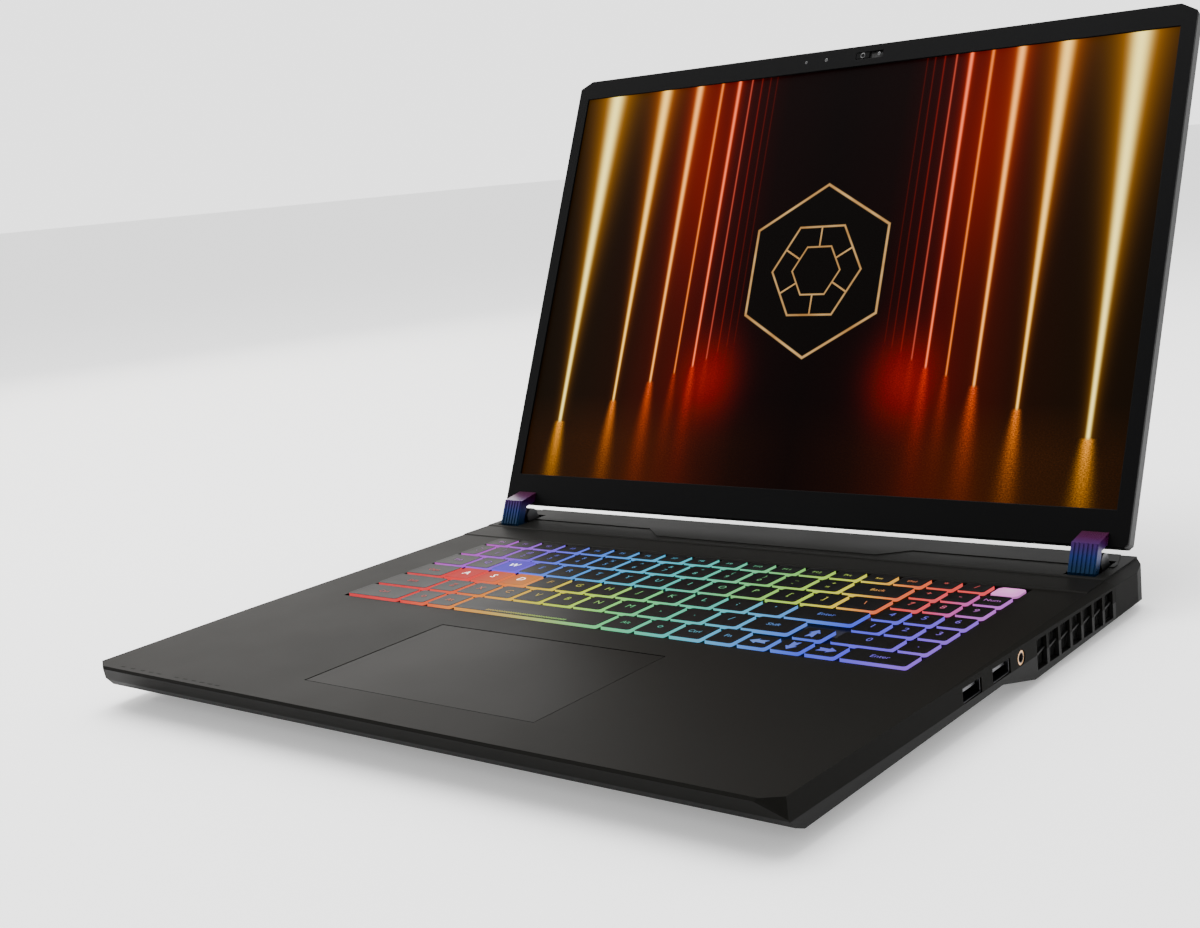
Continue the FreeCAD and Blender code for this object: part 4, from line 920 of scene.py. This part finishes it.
def makeVents(side):
    points, faces = [], []

    def wallAt(y):
        return ventLook["frontWall"] + (y - ventLook["first"]) * ventLook["drawIn"]

    def addBar(y0, z0, y1, z1, width, near, far):
        # a flat bar between two places on the wall, from near to far behind it
        length = math.hypot(y1 - y0, z1 - z0)
        dy, dz = -(z1 - z0) / length * width / 2, (y1 - y0) / length * width / 2
        start = len(points)
        for depth in (near, far):
            for y, z in ((y0 - dy, z0 - dz), (y1 - dy, z1 - dz), (y1 + dy, z1 + dz), (y0 + dy, z0 + dz)):
                points.append(Vector((side * (wallAt(y) - depth), y, z)) * mm)
        faces.extend(boxFaces(start) if side > 0 else [tuple(reversed(face)) for face in boxFaces(start)])
    low, high = ventLook["low"], ventLook["high"]
    middle = (low + high) / 2
    inside, pitch, wire = ventLook["inside"], ventLook["meshPitch"], ventLook["wire"]
    between, behind = inside + ventLook["wireDepth"], inside + 2 * ventLook["wireDepth"]
    for index in range(ventLook["count"]):
        y0 = ventLook["first"] + index * ventLook["pitch"] + ventLook["clear"]
        y1 = y0 + ventLook["opening"] - 2 * ventLook["clear"]
        rise = ventLook["louvreRise"]
        addBar(y0, middle - rise, y1, middle + rise, ventLook["louvreWidth"], *ventLook["louvreDepth"])
        # upright wires of the mesh, and the level ones behind them
        for step in range(1, int((y1 - y0) / pitch) + 1):
            y = y0 + step * pitch
            addBar(y, low, y, high, wire, inside, between)
        for step in range(1, int((high - low) / pitch) + 1):
            z = low + step * pitch
            addBar(y0, z, y1, z, wire, between, behind)
    name = "rightVentMesh" if side > 0 else "leftVentMesh"
    makePiece(name, points, faces, materials["ventWire"], "base")


for side in (1, -1):
    makeVents(side)
print("vent meshes made")

# small slots in the top edge by the left front corner, drawn as thin dark boxes of painted shade
slotLook = {"spots": (-167.5, -160.3, -153.0, -147.0, -141.0, -128.5, -122.5, -116.5, -111.0, -105.5, -100.5),
            "length": 2.6, "width": 0.7, "skew": 0.2, "behind": 3.4, "deck": 21.0, "rise": 0.03, "depth": 0.4}


def makeSlotShade():
    low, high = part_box("top_cover")
    front = low.y + slotLook["behind"] * mm
    deckTop = (slotLook["deck"] + slotLook["rise"]) * mm
    length, width, skew = slotLook["length"], slotLook["width"], slotLook["skew"]
    points, faces = [], []
    for spot in slotLook["spots"]:
        start = len(points)
        for rise in (-slotLook["depth"] * mm, 0.0):
            for x, y in ((0, 0), (length, skew), (length, skew + width), (0, width)):
                points.append(Vector((spot * mm + x * mm, front + y * mm, deckTop + rise)))
        faces.extend(boxFaces(start))
    makePiece("frontSlotShade", points, faces, materials["slotShade"], "base")


makeSlotShade()
print("edge marks made")

# camera strip: two microphones, a status light and a sensor beside the lens
stripLook = {
    "height": 258.2, "dots": ((-27.0, 0.8), (-14.0, 0.95), (19.0, 0.95), (9.0, 1.5)),
    "openDot": 9.0, "steps": 24,
    # how much of the radius each ring has, and its depth on the lid
    "rings": ((1.0, -1.4), (1.0, -1.46), (0.78, -1.5), (0.7, -1.44)),
}


def onLid(across, depth, up):
    # a place on the lid, from its distance across, behind and up
    return Vector((across * mm, hingeAt.y + (depth * math.cos(lidLean) + up * math.sin(lidLean)) * mm,
                   hingeAt.z + (up * math.cos(lidLean) - depth * math.sin(lidLean)) * mm))


def makeCameraStrip():
    points, faces = [], []
    steps = stripLook["steps"]
    for across, radius in stripLook["dots"]:
        rows = []
        for share, depth in stripLook["rings"]:
            reach = radius * share
            row = []
            for step in range(steps):
                angle = math.tau * step / steps
                row.append(len(points))
                points.append(onLid(across + reach * math.cos(angle), depth,
                                    stripLook["height"] + reach * math.sin(angle)))
            rows.append(row)
        for first, second in zip(rows, rows[1:]):
            for step in range(steps):
                following = (step + 1) % steps
                faces.append((first[step], first[following], second[following], second[step]))
        if across != stripLook["openDot"]:
            faces.append(tuple(rows[-1]))
    makePiece("cameraStripDots", points, faces, materials["stripDot"], "lid")


makeCameraStrip()
print("camera strip made")

# floor, light and camera
floorLook = {"size": 60.0, "emission": 0.3}
floorFinish = {"colour": (0.94, 0.94, 0.94), "second": (0.92, 0.92, 0.92), "roughness": 0.8, "spread": 0.05,
               "bump": 0.02, "specular": 0.2}
bpy.ops.mesh.primitive_plane_add(size=floorLook["size"], location=(0, 0, 0))
floor = bpy.context.active_object
floor.name = "studioFloor"
dress(floor, makeFinish("paleFloor", floorFinish))
floorShader = floor.data.materials[0].node_tree.nodes["Principled BSDF"]
floorShader.inputs["Emission Color"].default_value = (1.0, 1.0, 1.0, 1)
floorShader.inputs["Emission Strength"].default_value = floorLook["emission"]

# a white room that is brighter towards the far left
worldLook = {"towards": (-0.62, 0.78, 0.0), "offset": 0.55, "slope": 0.9, "low": 0.55, "rise": 1.9}
world = bpy.data.worlds.new("studioWorld")
bpy.context.scene.world = world
world.use_nodes = True
worldTree = world.node_tree
background = worldTree.nodes["Background"]
sky = addNode(worldTree, "ShaderNodeTexCoord", (-900, 0))
facing = addNode(worldTree, "ShaderNodeVectorMath", (-700, 0), operation="DOT_PRODUCT")
facing.inputs[1].default_value = worldLook["towards"]
worldTree.links.new(sky.outputs["Generated"], facing.inputs[0])
spread = plus(worldTree, facing.outputs["Value"], worldLook["offset"])
spread = times(worldTree, spread, worldLook["slope"], clamp=True)
brightness = plus(worldTree, worldLook["low"], times(worldTree, spread, worldLook["rise"]))
worldTree.links.new(brightness, background.inputs["Strength"])
background.inputs["Color"].default_value = (1.0, 1.0, 1.0, 1)

# place, target, width and height, power, colour
lamps = {
    "overheadSoftbox": ((-0.3, 0.1, 1.6), (0, 0, 0), (1.4, 1.4), 45.0, (1.0, 1.0, 1.0)),
    "leftSoftbox": ((-1.4, 0.6, 0.7), (0, 0, 0.05), (1.2, 0.8), 9.0, (1.0, 0.95, 0.88)),
    "frontFill": ((0.6, -1.4, 0.9), (0, 0, 0.1), (1.2, 0.8), 4.0, (1.0, 1.0, 1.0)),
}


def addLamp(name, place, target, size, power, colour):
    lamp = bpy.data.lights.new(name, "AREA")
    lamp.shape = "RECTANGLE"
    lamp.size, lamp.size_y = size
    lamp.energy = power
    lamp.color = colour
    holder = bpy.data.objects.new(name, lamp)
    holder.location = place
    direction = Vector(target) - Vector(place)
    holder.rotation_euler = direction.to_track_quat("-Z", "Y").to_euler()
    bpy.context.scene.collection.objects.link(holder)


for name, settings in lamps.items():
    addLamp(name, *settings)

cameraView = {
    "place": (0.44582, -0.53443, 0.21348), "look": (-0.56114, 0.79438, -0.23254), "roll": -5.22,
    "lens": 45.67, "shiftX": -0.165, "shiftY": 0.0427,
}
camera = bpy.data.cameras.new("camera")
camera.lens = cameraView["lens"]
camera.sensor_width = 36.0
camera.shift_x = cameraView["shiftX"]
camera.shift_y = cameraView["shiftY"]
camera.clip_start = 0.01
cameraHolder = bpy.data.objects.new("camera", camera)
bpy.context.scene.collection.objects.link(cameraHolder)
aim = Vector(cameraView["look"]).to_track_quat("-Z", "Y").to_matrix().to_4x4()
turn = Matrix.Rotation(math.radians(cameraView["roll"]), 4, "Z")
cameraHolder.matrix_world = Matrix.Translation(cameraView["place"]) @ aim @ turn
bpy.context.scene.camera = cameraHolder
print("floor, light and camera placed")
